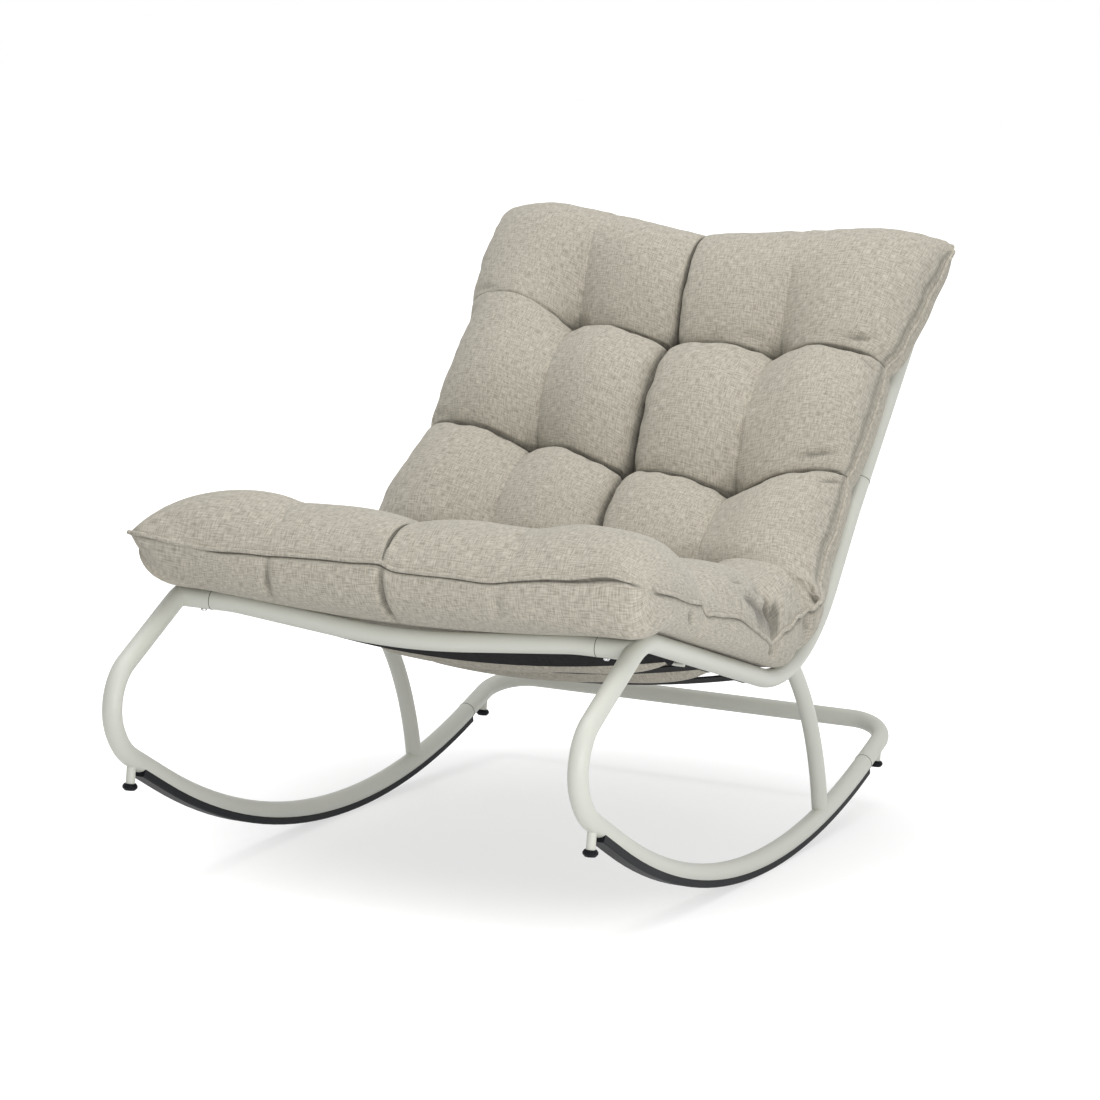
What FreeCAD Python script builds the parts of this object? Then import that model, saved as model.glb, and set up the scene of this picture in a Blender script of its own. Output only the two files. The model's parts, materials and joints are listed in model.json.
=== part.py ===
import FreeCAD, Part
import math
import os

import Sketcher

# Rocking lounge chair: bent steel tubes on two rockers, elastic straps and one folded tufted cushion.
# The front faces -Y and +Z is up. Left (-X) and right (+X) are as seen from the front. Sizes in mm.
# The side frames are drawn level, as the chair stands under a sitter. The whole chair is then leaned
# back by rest_tilt about the rockers' centre, which is where it comes to rest with nobody in it.

Vector = FreeCAD.Vector
Placement = FreeCAD.Placement
Rotation = FreeCAD.Rotation

DIMENSIONS = [
    ("half_width", 308.0, "middle plane to side frame centre line"),
    ("tube_od", 25.0, "frame tube outside diameter"),
    ("tube_wall", 1.5, "frame tube wall"),
    ("rest_tilt", 4.13, "lean of the empty chair, degrees"),
    ("rocker_radius", 1293.0, "underside of the rocker strips"),
    ("rocker_rear_angle", 21.9, "lowest point to rear joint, degrees"),
    ("rocker_front_angle", 20.95, "lowest point to toe run, degrees"),
    ("toe_run", 91.0, "straight ahead of the rocker"),
    ("toe_radius", 100.0, "toe bend"),
    ("toe_turn", 31.3, "toe bend, degrees"),
    ("shin_run", 3.4, "short straight between toe and knee"),
    ("knee_radius", 58.0, "forward bulge of the front leg"),
    ("knee_turn", 96.0, "knee bend, degrees"),
    ("leg_run", 132.0, "straight front leg"),
    ("front_radius", 92.0, "bend from leg to seat rail"),
    ("front_turn", 41.7, "front bend, degrees"),
    ("seat_run", 406.0, "straight seat rail"),
    ("seat_bend_radius", 250.0, "bend from seat to back"),
    ("seat_bend_turn", 65.7, "seat bend, degrees"),
    ("upright_run", 102.0, "lower upright"),
    ("lumbar_radius", 500.0, "slight bend below the back joint"),
    ("lumbar_turn", 4.0, "lumbar bend, degrees"),
    ("upright_end_run", 38.0, "straight that takes the back bow"),
    ("back_leg_run", 263.0, "back bow leg above the joint"),
    ("back_corner_radius", 90.0, "back bow corner"),
    ("base_leg_run", 65.0, "base bow leg behind the joint"),
    ("base_corner_radius", 60.0, "base bow corner"),
    ("spigot_od", 21.6, "narrowed tube end that plugs into the next tube"),
    ("spigot_run", 30.0, "plugged length"),
    ("neck_run", 3.0, "step from tube to narrowed end"),
    ("socket_run", 48.0, "side frame centre line to front rail joint"),
    ("socket_along", 14.0, "front rail axis past the top of the leg"),
    ("rail_end_run", 20.0, "front rail straight ends"),
    ("rail_end_radius", 200.0, "front rail end bends"),
    ("rail_mid_radius", 900.0, "front rail middle bend"),
    ("rail_turn", 5.6, "front rail slope, degrees"),
    ("strut_od", 22.0, "rear strut outside diameter"),
    ("strut_radius", 430.0, "rear strut curve"),
    ("strut_sweep", 37.8, "rear strut curve, degrees"),
    ("strut_foot_angle", 13.7, "rocker lowest point to strut foot, degrees"),
    ("strut_lean", 19.7, "strut foot from upright, degrees"),
    ("strip_thick", 5.0, "rocker strip under the tube"),
    ("strip_width", 20.0, "rocker strip tread"),
    ("strip_lip", 5.0, "rocker strip side height up the tube"),
    ("strip_toe_run", 66.0, "rocker strip along the toe run"),
    ("post_od", 11.5, "stop post outside diameter"),
    ("post_bore", 6.4, "stop post bore"),
    ("front_post_drop", 32.0, "front stop post below the tube centre"),
    ("rear_post_drop", 27.0, "rear stop post below the tube centre"),
    ("front_post_along", 89.0, "front stop post along the toe run"),
    ("rear_post_along", 65.0, "rear stop post along the base bow leg"),
    ("bumper_od", 19.0, "stop bumper head"),
    ("bumper_thick", 9.0, "stop bumper head height"),
    ("bumper_stem", 10.0, "stop bumper stem length"),
    ("screw_head_od", 8.0, "joint screw head"),
    ("screw_head_high", 3.0, "joint screw head height"),
    ("screw_shank", 4.0, "joint screw shank"),
    ("screw_run", 8.0, "joint screw length under the head"),
    ("screw_hole", 4.4, "joint screw hole"),
    ("screw_inset", 12.0, "joint screw from the seam"),
    ("strap_width", 50.0, "elastic strap"),
    ("strap_thick", 2.4, "elastic strap"),
    ("strap_bar", 286.0, "middle plane to staple bar"),
    ("strap_bar_low", 5.0, "staple bar below the tube centre"),
    ("seat_sag", 31.0, "seat strap sag"),
    ("front_strap_tilt", 14.0, "front strap, front edge up, degrees"),
    ("back_sag", 16.0, "back strap sag"),
    ("seat_strap_first", 106.0, "front strap from the front bend"),
    ("seat_strap_pitch", 139.0, "seat strap spacing"),
    ("back_strap_first", 60.0, "lower back strap from the seat bend"),
    ("bow_strap_first", 75.0, "middle back strap above the joint"),
    ("bow_strap_pitch", 150.0, "back strap spacing on the bow"),
    ("staple_wire", 5.0, "staple wire diameter"),
    ("staple_radius", 5.0, "staple bends"),
    ("staple_leg", 12.0, "staple leg"),
    ("tuft_pitch", 155.0, "tuft columns"),
    ("cushion_foot", 300.0, "middle plane to where the cushion leaves the side tube"),
]

JOINT_GAP = 0.05
LOOP_GAP = 0.3
STRIP_CHAMFER = 1.5
SIDES = {"left": -1.0, "right": 1.0}

doc = FreeCAD.newDocument("rocking_chair")
sheet = doc.addObject("Spreadsheet::Sheet", "Dims")
for row, (alias, value, note) in enumerate(DIMENSIONS, start=1):
    sheet.set(f"A{row}", note)
    sheet.set(f"B{row}", str(value))
    sheet.setAlias(f"B{row}", alias)
doc.recompute()

SIZES = {alias: float(sheet.get(alias)) for alias, value, note in DIMENSIONS}


def sin_deg(angle):
    return math.sin(math.radians(angle))


def cos_deg(angle):
    return math.cos(math.radians(angle))


def add_derived(name, formula, value):
    """Keep a size that follows from the sheet, with the formula that binds it."""
    DERIVED[name] = formula
    SIZES[name] = value


DERIVED = {}
add_derived(
    "rocker_line_radius",
    "Dims.rocker_radius - Dims.strip_thick - Dims.tube_od / 2",
    SIZES["rocker_radius"] - SIZES["strip_thick"] - SIZES["tube_od"] / 2,
)
add_derived(
    "rocker_turn",
    "Dims.rocker_rear_angle + Dims.rocker_front_angle",
    SIZES["rocker_rear_angle"] + SIZES["rocker_front_angle"],
)
add_derived(
    "rail_slope_run",
    "(Dims.half_width - Dims.socket_run - Dims.rail_end_run"
    " - (Dims.rail_end_radius + Dims.rail_mid_radius) * sin(Dims.rail_turn * 1 deg))"
    " / cos(Dims.rail_turn * 1 deg)",
    (
        SIZES["half_width"]
        - SIZES["socket_run"]
        - SIZES["rail_end_run"]
        - (SIZES["rail_end_radius"] + SIZES["rail_mid_radius"]) * sin_deg(SIZES["rail_turn"])
    )
    / cos_deg(SIZES["rail_turn"]),
)
add_derived("rail_mid_turn", "2 * Dims.rail_turn", 2 * SIZES["rail_turn"])
add_derived("square_turn", "90", 90.0)
add_derived(
    "back_cross_run",
    "2 * (Dims.half_width - Dims.back_corner_radius)",
    2 * (SIZES["half_width"] - SIZES["back_corner_radius"]),
)
add_derived(
    "base_cross_run",
    "2 * (Dims.half_width - Dims.base_corner_radius)",
    2 * (SIZES["half_width"] - SIZES["base_corner_radius"]),
)
add_derived(
    "staple_bar_run",
    "Dims.strap_width + Dims.staple_wire",
    SIZES["strap_width"] + SIZES["staple_wire"],
)

# Bend tables: straight runs, and bends with radius, turn and side (+1 left, -1 right).
SIDE_STEPS = [
    ("bend", "rocker_line_radius", "rocker_turn", 1),
    ("run", "toe_run"),
    ("bend", "toe_radius", "toe_turn", 1),
    ("run", "shin_run"),
    ("bend", "knee_radius", "knee_turn", 1),
    ("run", "leg_run"),
    ("bend", "front_radius", "front_turn", 1),
    ("run", "seat_run"),
    ("bend", "seat_bend_radius", "seat_bend_turn", -1),
    ("run", "upright_run"),
    ("bend", "lumbar_radius", "lumbar_turn", 1),
    ("run", "upright_end_run"),
]
BACK_STEPS = [
    ("run", "back_leg_run"),
    ("bend", "back_corner_radius", "square_turn", 1),
    ("run", "back_cross_run"),
    ("bend", "back_corner_radius", "square_turn", 1),
    ("run", "back_leg_run"),
]
BASE_STEPS = [
    ("run", "base_leg_run"),
    ("bend", "base_corner_radius", "square_turn", 1),
    ("run", "base_cross_run"),
    ("bend", "base_corner_radius", "square_turn", 1),
    ("run", "base_leg_run"),
]
RAIL_STEPS = [
    ("run", "rail_end_run"),
    ("bend", "rail_end_radius", "rail_turn", -1),
    ("run", "rail_slope_run"),
    ("bend", "rail_mid_radius", "rail_mid_turn", 1),
    ("run", "rail_slope_run"),
    ("bend", "rail_end_radius", "rail_turn", -1),
    ("run", "rail_end_run"),
]
STRUT_STEPS = [("bend", "strut_radius", "strut_sweep", 1)]
STRIP_STEPS = [("bend", "rocker_line_radius", "rocker_turn", 1), ("run", "strip_toe_run")]
STAPLE_STEPS = [
    ("run", "staple_leg"),
    ("bend", "staple_radius", "square_turn", 1),
    ("run", "staple_bar_run"),
    ("bend", "staple_radius", "square_turn", 1),
    ("run", "staple_leg"),
]


def formula(name):
    return DERIVED.get(name, f"Dims.{name}")


def advance(place, step, share=1.0):
    """Move a point and heading (x, y, radians) along a share of one step."""
    x, y, heading = place
    if step[0] == "run":
        length = SIZES[step[1]] * share
        return (x + length * math.cos(heading), y + length * math.sin(heading), heading)
    radius, side = SIZES[step[1]], step[3]
    turned = heading + side * math.radians(SIZES[step[2]]) * share
    return (
        x + side * radius * (math.sin(turned) - math.sin(heading)),
        y - side * radius * (math.cos(turned) - math.cos(heading)),
        turned,
    )


def step_length(step):
    if step[0] == "run":
        return SIZES[step[1]]
    return SIZES[step[1]] * math.radians(SIZES[step[2]])


def walk(steps, first_size, distance):
    """Point and heading at a distance past the start of the step that first_size names."""
    place = (0.0, 0.0, 0.0)
    for step in steps:
        if step[1] == first_size:
            return advance(place, step, distance / step_length(step))
        place = advance(place, step)
    raise ValueError(first_size)


def walk_to_end(steps):
    place = (0.0, 0.0, 0.0)
    for step in steps:
        place = advance(place, step)
    return place


def new_body(name):
    body = doc.addObject("PartDesign::Body", name)
    body.Label = name
    return body


def sketch_on(body, name, plane_role):
    sketch = body.newObject("Sketcher::SketchObject", f"{body.Name}_{name}")
    plane = next(f for f in body.Origin.OriginFeatures if f.Role == plane_role)
    sketch.AttachmentSupport = [(plane, "")]
    sketch.MapMode = "FlatFace"
    return sketch


def bind(sketch, constraint, name, expression):
    """Add a dimension to a sketch, named and driven by the sheet."""
    index = sketch.addConstraint(constraint)
    sketch.renameConstraint(index, name)
    sketch.setExpression(f"Constraints.{name}", expression)


def draw_path(sketch, steps):
    """Draw a bend table as tangent lines and arcs that leave the origin along X."""
    place = (0.0, 0.0, 0.0)
    last = None
    for number, step in enumerate(steps):
        x, y, heading = place
        end = advance(place, step)
        if step[0] == "run":
            curve = Part.LineSegment(Vector(x, y, 0), Vector(end[0], end[1], 0))
            index = sketch.addGeometry(curve, False)
            enter, leave = 1, 2
            run = Sketcher.Constraint("Distance", index, SIZES[step[1]])
            bind(sketch, run, f"run_{number}", formula(step[1]))
        else:
            radius, side = SIZES[step[1]], step[3]
            centre = Vector(x - side * radius * math.sin(heading), y + side * radius * math.cos(heading), 0)
            angles = [heading - side * math.pi / 2, end[2] - side * math.pi / 2]
            circle = Part.Circle(centre, Vector(0, 0, 1), radius)
            index = sketch.addGeometry(Part.ArcOfCircle(circle, min(angles), max(angles)), False)
            enter, leave = (1, 2) if side > 0 else (2, 1)
            bind(sketch, Sketcher.Constraint("Radius", index, radius), f"radius_{number}", formula(step[1]))
            turn = Sketcher.Constraint("Angle", index, math.radians(SIZES[step[2]]))
            bind(sketch, turn, f"turn_{number}", f"({formula(step[2])}) * 1 deg")
        if last is None:
            sketch.addConstraint(Sketcher.Constraint("Coincident", index, enter, -1, 1))
            if step[0] == "run":
                sketch.addConstraint(Sketcher.Constraint("Horizontal", index))
            else:
                sketch.addConstraint(Sketcher.Constraint("PointOnObject", index, 3, -2))
        else:
            sketch.addConstraint(Sketcher.Constraint("Tangent", last[0], last[1], index, enter))
        last = (index, leave)
        place = end


def draw_circle(sketch, name, expression, radius, x=0.0, y=0.0):
    """Draw a circle whose radius the sheet drives, centred on the origin or at a fixed place."""
    index = sketch.addGeometry(Part.Circle(Vector(x, y, 0), Vector(0, 0, 1), radius), False)
    bind(sketch, Sketcher.Constraint("Radius", index, radius), name, expression)
    if x == 0.0 and y == 0.0:
        sketch.addConstraint(Sketcher.Constraint("Coincident", index, 3, -1, 1))
    else:
        sketch.addConstraint(Sketcher.Constraint("Block", index))
    return index


def draw_outline(sketch, points):
    """Draw a closed outline of straight edges through the points."""
    count = len(points)
    first = sketch.GeometryCount
    for number in range(count):
        start, end = points[number], points[(number + 1) % count]
        sketch.addGeometry(Part.LineSegment(Vector(*start, 0), Vector(*end, 0)), False)
    for number in range(count):
        following = first + (number + 1) % count
        sketch.addConstraint(Sketcher.Constraint("Coincident", first + number, 2, following, 1))
    return first


def sweep_tube(body, steps, outer, wall=None):
    """Sweep a round tube, or a solid rod where no wall is given, along a bend table."""
    path = sketch_on(body, "path", "XY_Plane")
    draw_path(path, steps)
    ring = sketch_on(body, "ring", "YZ_Plane")
    draw_circle(ring, "outer_radius", f"Dims.{outer} / 2", SIZES[outer] / 2)
    if wall:
        inner = SIZES[outer] / 2 - SIZES[wall]
        draw_circle(ring, "inner_radius", f"Dims.{outer} / 2 - Dims.{wall}", inner)
    pipe = body.newObject("PartDesign::AdditivePipe", f"{body.Name}_sweep")
    pipe.Profile = ring
    pipe.Spine = (path, [f"Edge{number + 1}" for number in range(len(steps))])
    return pipe


def add_spigot(body, name, x, y, direction):
    """Add a narrowed end that leaves a tube's mouth at (x, y) along X, and its step inside the tube."""
    bore = SIZES["spigot_od"] / 2 - SIZES["tube_wall"]
    outside = SIZES["spigot_od"] / 2
    neck = SIZES["tube_od"] / 2 - SIZES["tube_wall"] / 2
    sketch = sketch_on(body, name, "XY_Plane")
    axis = sketch.addGeometry(Part.LineSegment(Vector(x, y, 0), Vector(x + direction, y, 0)), True)
    sketch.addConstraint(Sketcher.Constraint("Block", axis))
    tip = x + direction * SIZES["spigot_run"]
    step = x - direction * SIZES["neck_run"]
    outline = [
        (tip, y + bore),
        (tip, y + outside),
        (x, y + outside),
        (x, y + neck),
        (step, y + neck),
        (step, y + bore),
    ]
    first = draw_outline(sketch, outline)
    for edge in (0, 2, 4):
        sketch.addConstraint(Sketcher.Constraint("Vertical", first + edge))
    for edge in (1, 3, 5):
        sketch.addConstraint(Sketcher.Constraint("Horizontal", first + edge))
    dims = [
        ("DistanceX", 1, tip, x, "spigot_run", "Dims.spigot_run"),
        ("DistanceX", 3, x, step, "neck_run", "Dims.neck_run"),
    ]
    for kind, edge, start, end, label, expression in dims:
        ends = (1, 2) if end > start else (2, 1)
        span = Sketcher.Constraint(kind, first + edge, ends[0], first + edge, ends[1], abs(end - start))
        bind(sketch, span, label, expression)
    heights = [
        (0, 2, outside, "outside_radius", "Dims.spigot_od / 2"),
        (0, 1, bore, "bore_radius", "Dims.spigot_od / 2 - Dims.tube_wall"),
        (4, 1, neck, "neck_radius", "Dims.tube_od / 2 - Dims.tube_wall / 2"),
    ]
    for edge, end, height, label, expression in heights:
        reach = Sketcher.Constraint("DistanceY", axis, 1, first + edge, end, height)
        bind(sketch, reach, label, expression)
    sketch.addConstraint(Sketcher.Constraint("Vertical", axis, 1, first + 2, 1))
    turned = body.newObject("PartDesign::Revolution", f"{body.Name}_{name}_turned")
    turned.Profile = sketch
    turned.ReferenceAxis = (sketch, ["Axis0"])
    turned.Angle = 360.0


def drill(body, name, plane_role, places, depth, backwards):
    """Cut round screw holes from a middle plane outwards through one wall."""
    sketch = sketch_on(body, name, plane_role)
    for number, (x, y) in enumerate(places):
        draw_circle(sketch, f"hole_{number}", "Dims.screw_hole / 2", SIZES["screw_hole"] / 2, x, y)
    pocket = body.newObject("PartDesign::Pocket", f"{body.Name}_{name}_cut")
    pocket.Profile = sketch
    pocket.Type = "Length"
    pocket.setExpression("Length", depth)
    pocket.Reversed = backwards


def cut_with(name, base, tools):
    """Trim a piece to the outside of the tubes that it is welded to."""
    for number, tool in enumerate(tools):
        trimmed = doc.addObject("Part::Cut", f"{name}_trim_{number}")
        trimmed.Base = base
        trimmed.Tool = tool
        base = trimmed
    base.Label = name
    return base


def grouped(name, members):
    group = doc.addObject("Part::Compound", name)
    group.Links = members
    group.Label = name
    return group


# Frames of the chair. REST leans the level chair back about the rockers' centre.
lean = Rotation(Vector(1, 0, 0), -SIZES["rest_tilt"])
rocker_centre = Vector(0, 0, SIZES["rocker_radius"])
REST = Placement(rocker_centre - lean.multVec(rocker_centre), lean)

rear_angle = SIZES["rocker_rear_angle"]
line_radius = SIZES["rocker_line_radius"]
rear_joint = Vector(
    0,
    line_radius * sin_deg(rear_angle),
    SIZES["rocker_radius"] - line_radius * cos_deg(rear_angle),
)
side_axes = Rotation(
    Vector(0, -cos_deg(rear_angle), -sin_deg(rear_angle)),
    Vector(0, -sin_deg(rear_angle), cos_deg(rear_angle)),
    Vector(-1, 0, 0),
    "XYZ",
)
SIDE_PLANE = Placement(rear_joint, side_axes)


def across(x):
    return Placement(Vector(x, 0, 0), Rotation())


def carrier(place):
    """Frame on the side frames' line: X across the chair, Y along the tube, Z out of its upper side."""
    x, y, heading = place
    origin = SIDE_PLANE.multVec(Vector(x, y, 0))
    along = SIDE_PLANE.Rotation.multVec(Vector(math.cos(heading), math.sin(heading), 0))
    axes = Rotation(Vector(1, 0, 0), along, Vector(1, 0, 0).cross(along), "XYZ")
    return Placement(origin, axes)


def on_side(first_size, distance):
    return carrier(walk(SIDE_STEPS, first_size, distance))


BACK_JOINT = carrier(walk_to_end(SIDE_STEPS))


def on_bow(distance):
    return BACK_JOINT.multiply(Placement(Vector(0, distance, 0), Rotation()))


def put(piece, local):
    piece.Placement = REST.multiply(local)
    return piece


def turned_frame(origin, x_axis, y_axis):
    return Placement(origin, Rotation(x_axis, y_axis, x_axis.cross(y_axis), "XYZ"))


# Placements of the two bows and of the front rail, each in the plane that its bend table is drawn in.
back_origin = BACK_JOINT.Base + Vector(SIZES["half_width"], 0, 0)
BACK_PLANE = turned_frame(back_origin, BACK_JOINT.Rotation.multVec(Vector(0, 1, 0)), Vector(-1, 0, 0))
base_origin = rear_joint + Vector(SIZES["half_width"], 0, 0)
base_along = Vector(0, cos_deg(rear_angle), sin_deg(rear_angle))
BASE_PLANE = turned_frame(base_origin, base_along, Vector(-1, 0, 0))
rail_axis = on_side("front_radius", SIZES["socket_along"]).Base
rail_reach = SIZES["half_width"] - SIZES["socket_run"]
RAIL_PLANE = turned_frame(rail_axis - Vector(rail_reach, 0, 0), Vector(1, 0, 0), Vector(0, 0, 1))

NODES = []


def keep(piece):
    NODES.append(piece)
    return piece


# Rods as thick as the tubes, used only to trim what is welded to them.
side_rods = {}
for side, sign in SIDES.items():
    rod = new_body(f"trim_side_{side}")
    sweep_tube(rod, SIDE_STEPS, "tube_od")
    side_rods[side] = put(rod, across(sign * SIZES["half_width"]).multiply(SIDE_PLANE))
back_rod = new_body("trim_back")
sweep_tube(back_rod, BACK_STEPS, "tube_od")
put(back_rod, BACK_PLANE)
base_rod = new_body("trim_base")
sweep_tube(base_rod, BASE_STEPS, "tube_od")
put(base_rod, BASE_PLANE)


def make_side_frame(side, sign):
    """One bent tube: rocker, toe, front leg, seat rail and lower upright, with a spigot at the rear."""
    body = new_body(f"side_frame_{side}")
    sweep_tube(body, SIDE_STEPS, "tube_od", "tube_wall")
    add_spigot(body, "rear_spigot", 0.0, 0.0, -1)
    drill(body, "spigot_hole", "XZ_Plane", [(-SIZES["screw_inset"], 0.0)], "Dims.tube_od / 2", True)
    end_run = SIZES["upright_end_run"] - SIZES["screw_inset"]
    x, y, heading = walk(SIDE_STEPS, "upright_end_run", end_run)
    drill(body, "socket_hole", "XY_Plane", [(x, y)], "Dims.tube_od / 2 + 1", sign > 0)
    return put(body, across(sign * SIZES["half_width"]).multiply(SIDE_PLANE))


def make_back_bow():
    """U-shaped top of the back, plugged into both uprights."""
    body = new_body("back_bow")
    sweep_tube(body, BACK_STEPS, "tube_od", "tube_wall")
    width = 2 * SIZES["half_width"]
    add_spigot(body, "right_spigot", 0.0, 0.0, -1)
    add_spigot(body, "left_spigot", 0.0, width, -1)
    drill(body, "spigot_holes", "XZ_Plane", [(-SIZES["screw_inset"], 0.0)], "2 * Dims.half_width", False)
    return put(body, BACK_PLANE)


def make_base_bow():
    """U-shaped rear of the base, pushed over the rockers' rear spigots."""
    body = new_body("base_bow")
    sweep_tube(body, BASE_STEPS, "tube_od", "tube_wall")
    width = 2 * SIZES["half_width"]
    holes = [(SIZES["screw_inset"], 0.0), (SIZES["screw_inset"], width)]
    drill(body, "socket_holes", "XY_Plane", holes, "Dims.tube_od / 2 + 1", False)
    return put(body, BASE_PLANE)


def make_front_rail():
    """Front seat rail, bowed down in the middle, with a spigot at each end."""
    body = new_body("front_rail")
    sweep_tube(body, RAIL_STEPS, "tube_od", "tube_wall")
    far_end = 2 * rail_reach
    add_spigot(body, "left_spigot", 0.0, 0.0, -1)
    add_spigot(body, "right_spigot", far_end, 0.0, 1)
    holes = [(-SIZES["screw_inset"], 0.0), (far_end + SIZES["screw_inset"], 0.0)]
    drill(body, "spigot_holes", "XZ_Plane", holes, "Dims.tube_od / 2", True)
    return put(body, RAIL_PLANE)


def socket_frame(sign):
    origin = rail_axis + Vector(sign * SIZES["half_width"], 0, 0)
    return turned_frame(origin, Vector(-sign, 0, 0), Vector(0, 0, 1))


def make_front_socket(side, sign):
    """Short tube welded to the inside of a side frame, which the front rail plugs into."""
    body = new_body(f"socket_blank_{side}")
    ring = sketch_on(body, "ring", "YZ_Plane")
    draw_circle(ring, "outer_radius", "Dims.tube_od / 2", SIZES["tube_od"] / 2)
    bore = SIZES["tube_od"] / 2 - SIZES["tube_wall"]
    draw_circle(ring, "inner_radius", "Dims.tube_od / 2 - Dims.tube_wall", bore)
    pad = body.newObject("PartDesign::Pad", f"{body.Name}_pad")
    pad.Profile = ring
    pad.setExpression("Length", f"Dims.socket_run - {JOINT_GAP}")
    hole = (SIZES["socket_run"] - SIZES["screw_inset"], 0.0)
    drill(body, "hole", "XZ_Plane", [hole], "Dims.tube_od / 2 + 1", True)
    put(body, socket_frame(sign))
    return cut_with(f"front_socket_{side}", body, [side_rods[side]])


def make_strut(side, sign):
    """Curved rear strut from the rocker up to the seat bend."""
    body = new_body(f"strut_blank_{side}")
    sweep_tube(body, STRUT_STEPS, "strut_od", "tube_wall")
    angle, lean_angle = SIZES["strut_foot_angle"], SIZES["strut_lean"]
    foot = Vector(
        sign * SIZES["half_width"],
        line_radius * sin_deg(angle),
        SIZES["rocker_radius"] - line_radius * cos_deg(angle),
    )
    upward = Vector(0, -sin_deg(lean_angle), cos_deg(lean_angle))
    forward = Vector(0, -cos_deg(lean_angle), -sin_deg(lean_angle))
    put(body, turned_frame(foot, upward, forward))
    return cut_with(f"rear_strut_{side}", body, [side_rods[side]])


def make_strip(side, sign):
    """Black rocker strip that hugs the underside of the rocker tube."""
    body = new_body(f"rocker_strip_{side}")
    path = sketch_on(body, "path", "XY_Plane")
    draw_path(path, STRIP_STEPS)
    section = sketch_on(body, "section", "YZ_Plane")
    inside = SIZES["tube_od"] / 2 + JOINT_GAP
    half, low = SIZES["strip_width"] / 2, -(SIZES["tube_od"] / 2 + SIZES["strip_thick"])
    lip = low + SIZES["strip_thick"] + SIZES["strip_lip"]
    hug = math.sqrt(inside ** 2 - lip ** 2)
    outline = [
        (lip, -hug),
        (low + STRIP_CHAMFER, -half),
        (low, STRIP_CHAMFER - half),
        (low, half - STRIP_CHAMFER),
        (low + STRIP_CHAMFER, half),
        (lip, hug),
    ]
    for number in range(len(outline) - 1):
        start, end = outline[number], outline[number + 1]
        section.addGeometry(Part.LineSegment(Vector(*start, 0), Vector(*end, 0)), False)
        if number:
            section.addConstraint(Sketcher.Constraint("Coincident", number - 1, 2, number, 1))
    open_angle = math.acos(lip / inside)
    hollow = Part.Circle(Vector(0, 0, 0), Vector(0, 0, 1), inside)
    arc = section.addGeometry(Part.ArcOfCircle(hollow, open_angle, 2 * math.pi - open_angle), False)
    section.addConstraint(Sketcher.Constraint("Coincident", arc, 3, -1, 1))
    section.addConstraint(Sketcher.Constraint("Coincident", arc, 1, 4, 2))
    section.addConstraint(Sketcher.Constraint("Coincident", arc, 2, 0, 1))
    bind(section, Sketcher.Constraint("Radius", arc, inside), "hug_radius", f"Dims.tube_od / 2 + {JOINT_GAP}")
    tread = Sketcher.Constraint("Distance", 2, SIZES["strip_width"] - 2 * STRIP_CHAMFER)
    bind(section, tread, "tread", f"Dims.strip_width - 2 * {STRIP_CHAMFER}")
    pipe = body.newObject("PartDesign::AdditivePipe", f"{body.Name}_sweep")
    pipe.Profile = section
    pipe.Spine = (path, ["Edge1", "Edge2"])
    return put(body, across(sign * SIZES["half_width"]).multiply(SIDE_PLANE))


def post_frame(end, sign):
    """Top of a stop post on the tube's centre line, with Z down the post."""
    if end == "front":
        top = on_side("toe_run", SIZES["front_post_along"]).Base
    else:
        top = rear_joint + base_along * SIZES["rear_post_along"]
    top = top + Vector(sign * SIZES["half_width"], 0, 0)
    return turned_frame(top, Vector(1, 0, 0), Vector(0, -1, 0))


def make_post(end, side, sign):
    """Hollow stop post welded under the tube."""
    body = new_body(f"post_blank_{end}_{side}")
    ring = sketch_on(body, "ring", "XY_Plane")
    draw_circle(ring, "outer_radius", "Dims.post_od / 2", SIZES["post_od"] / 2)
    draw_circle(ring, "inner_radius", "Dims.post_bore / 2", SIZES["post_bore"] / 2)
    pad = body.newObject("PartDesign::Pad", f"{body.Name}_pad")
    pad.Profile = ring
    pad.setExpression("Length", f"Dims.{end}_post_drop")
    put(body, post_frame(end, sign))
    tube = side_rods[side] if end == "front" else base_rod
    return cut_with(f"stop_post_{end}_{side}", body, [tube])


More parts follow.
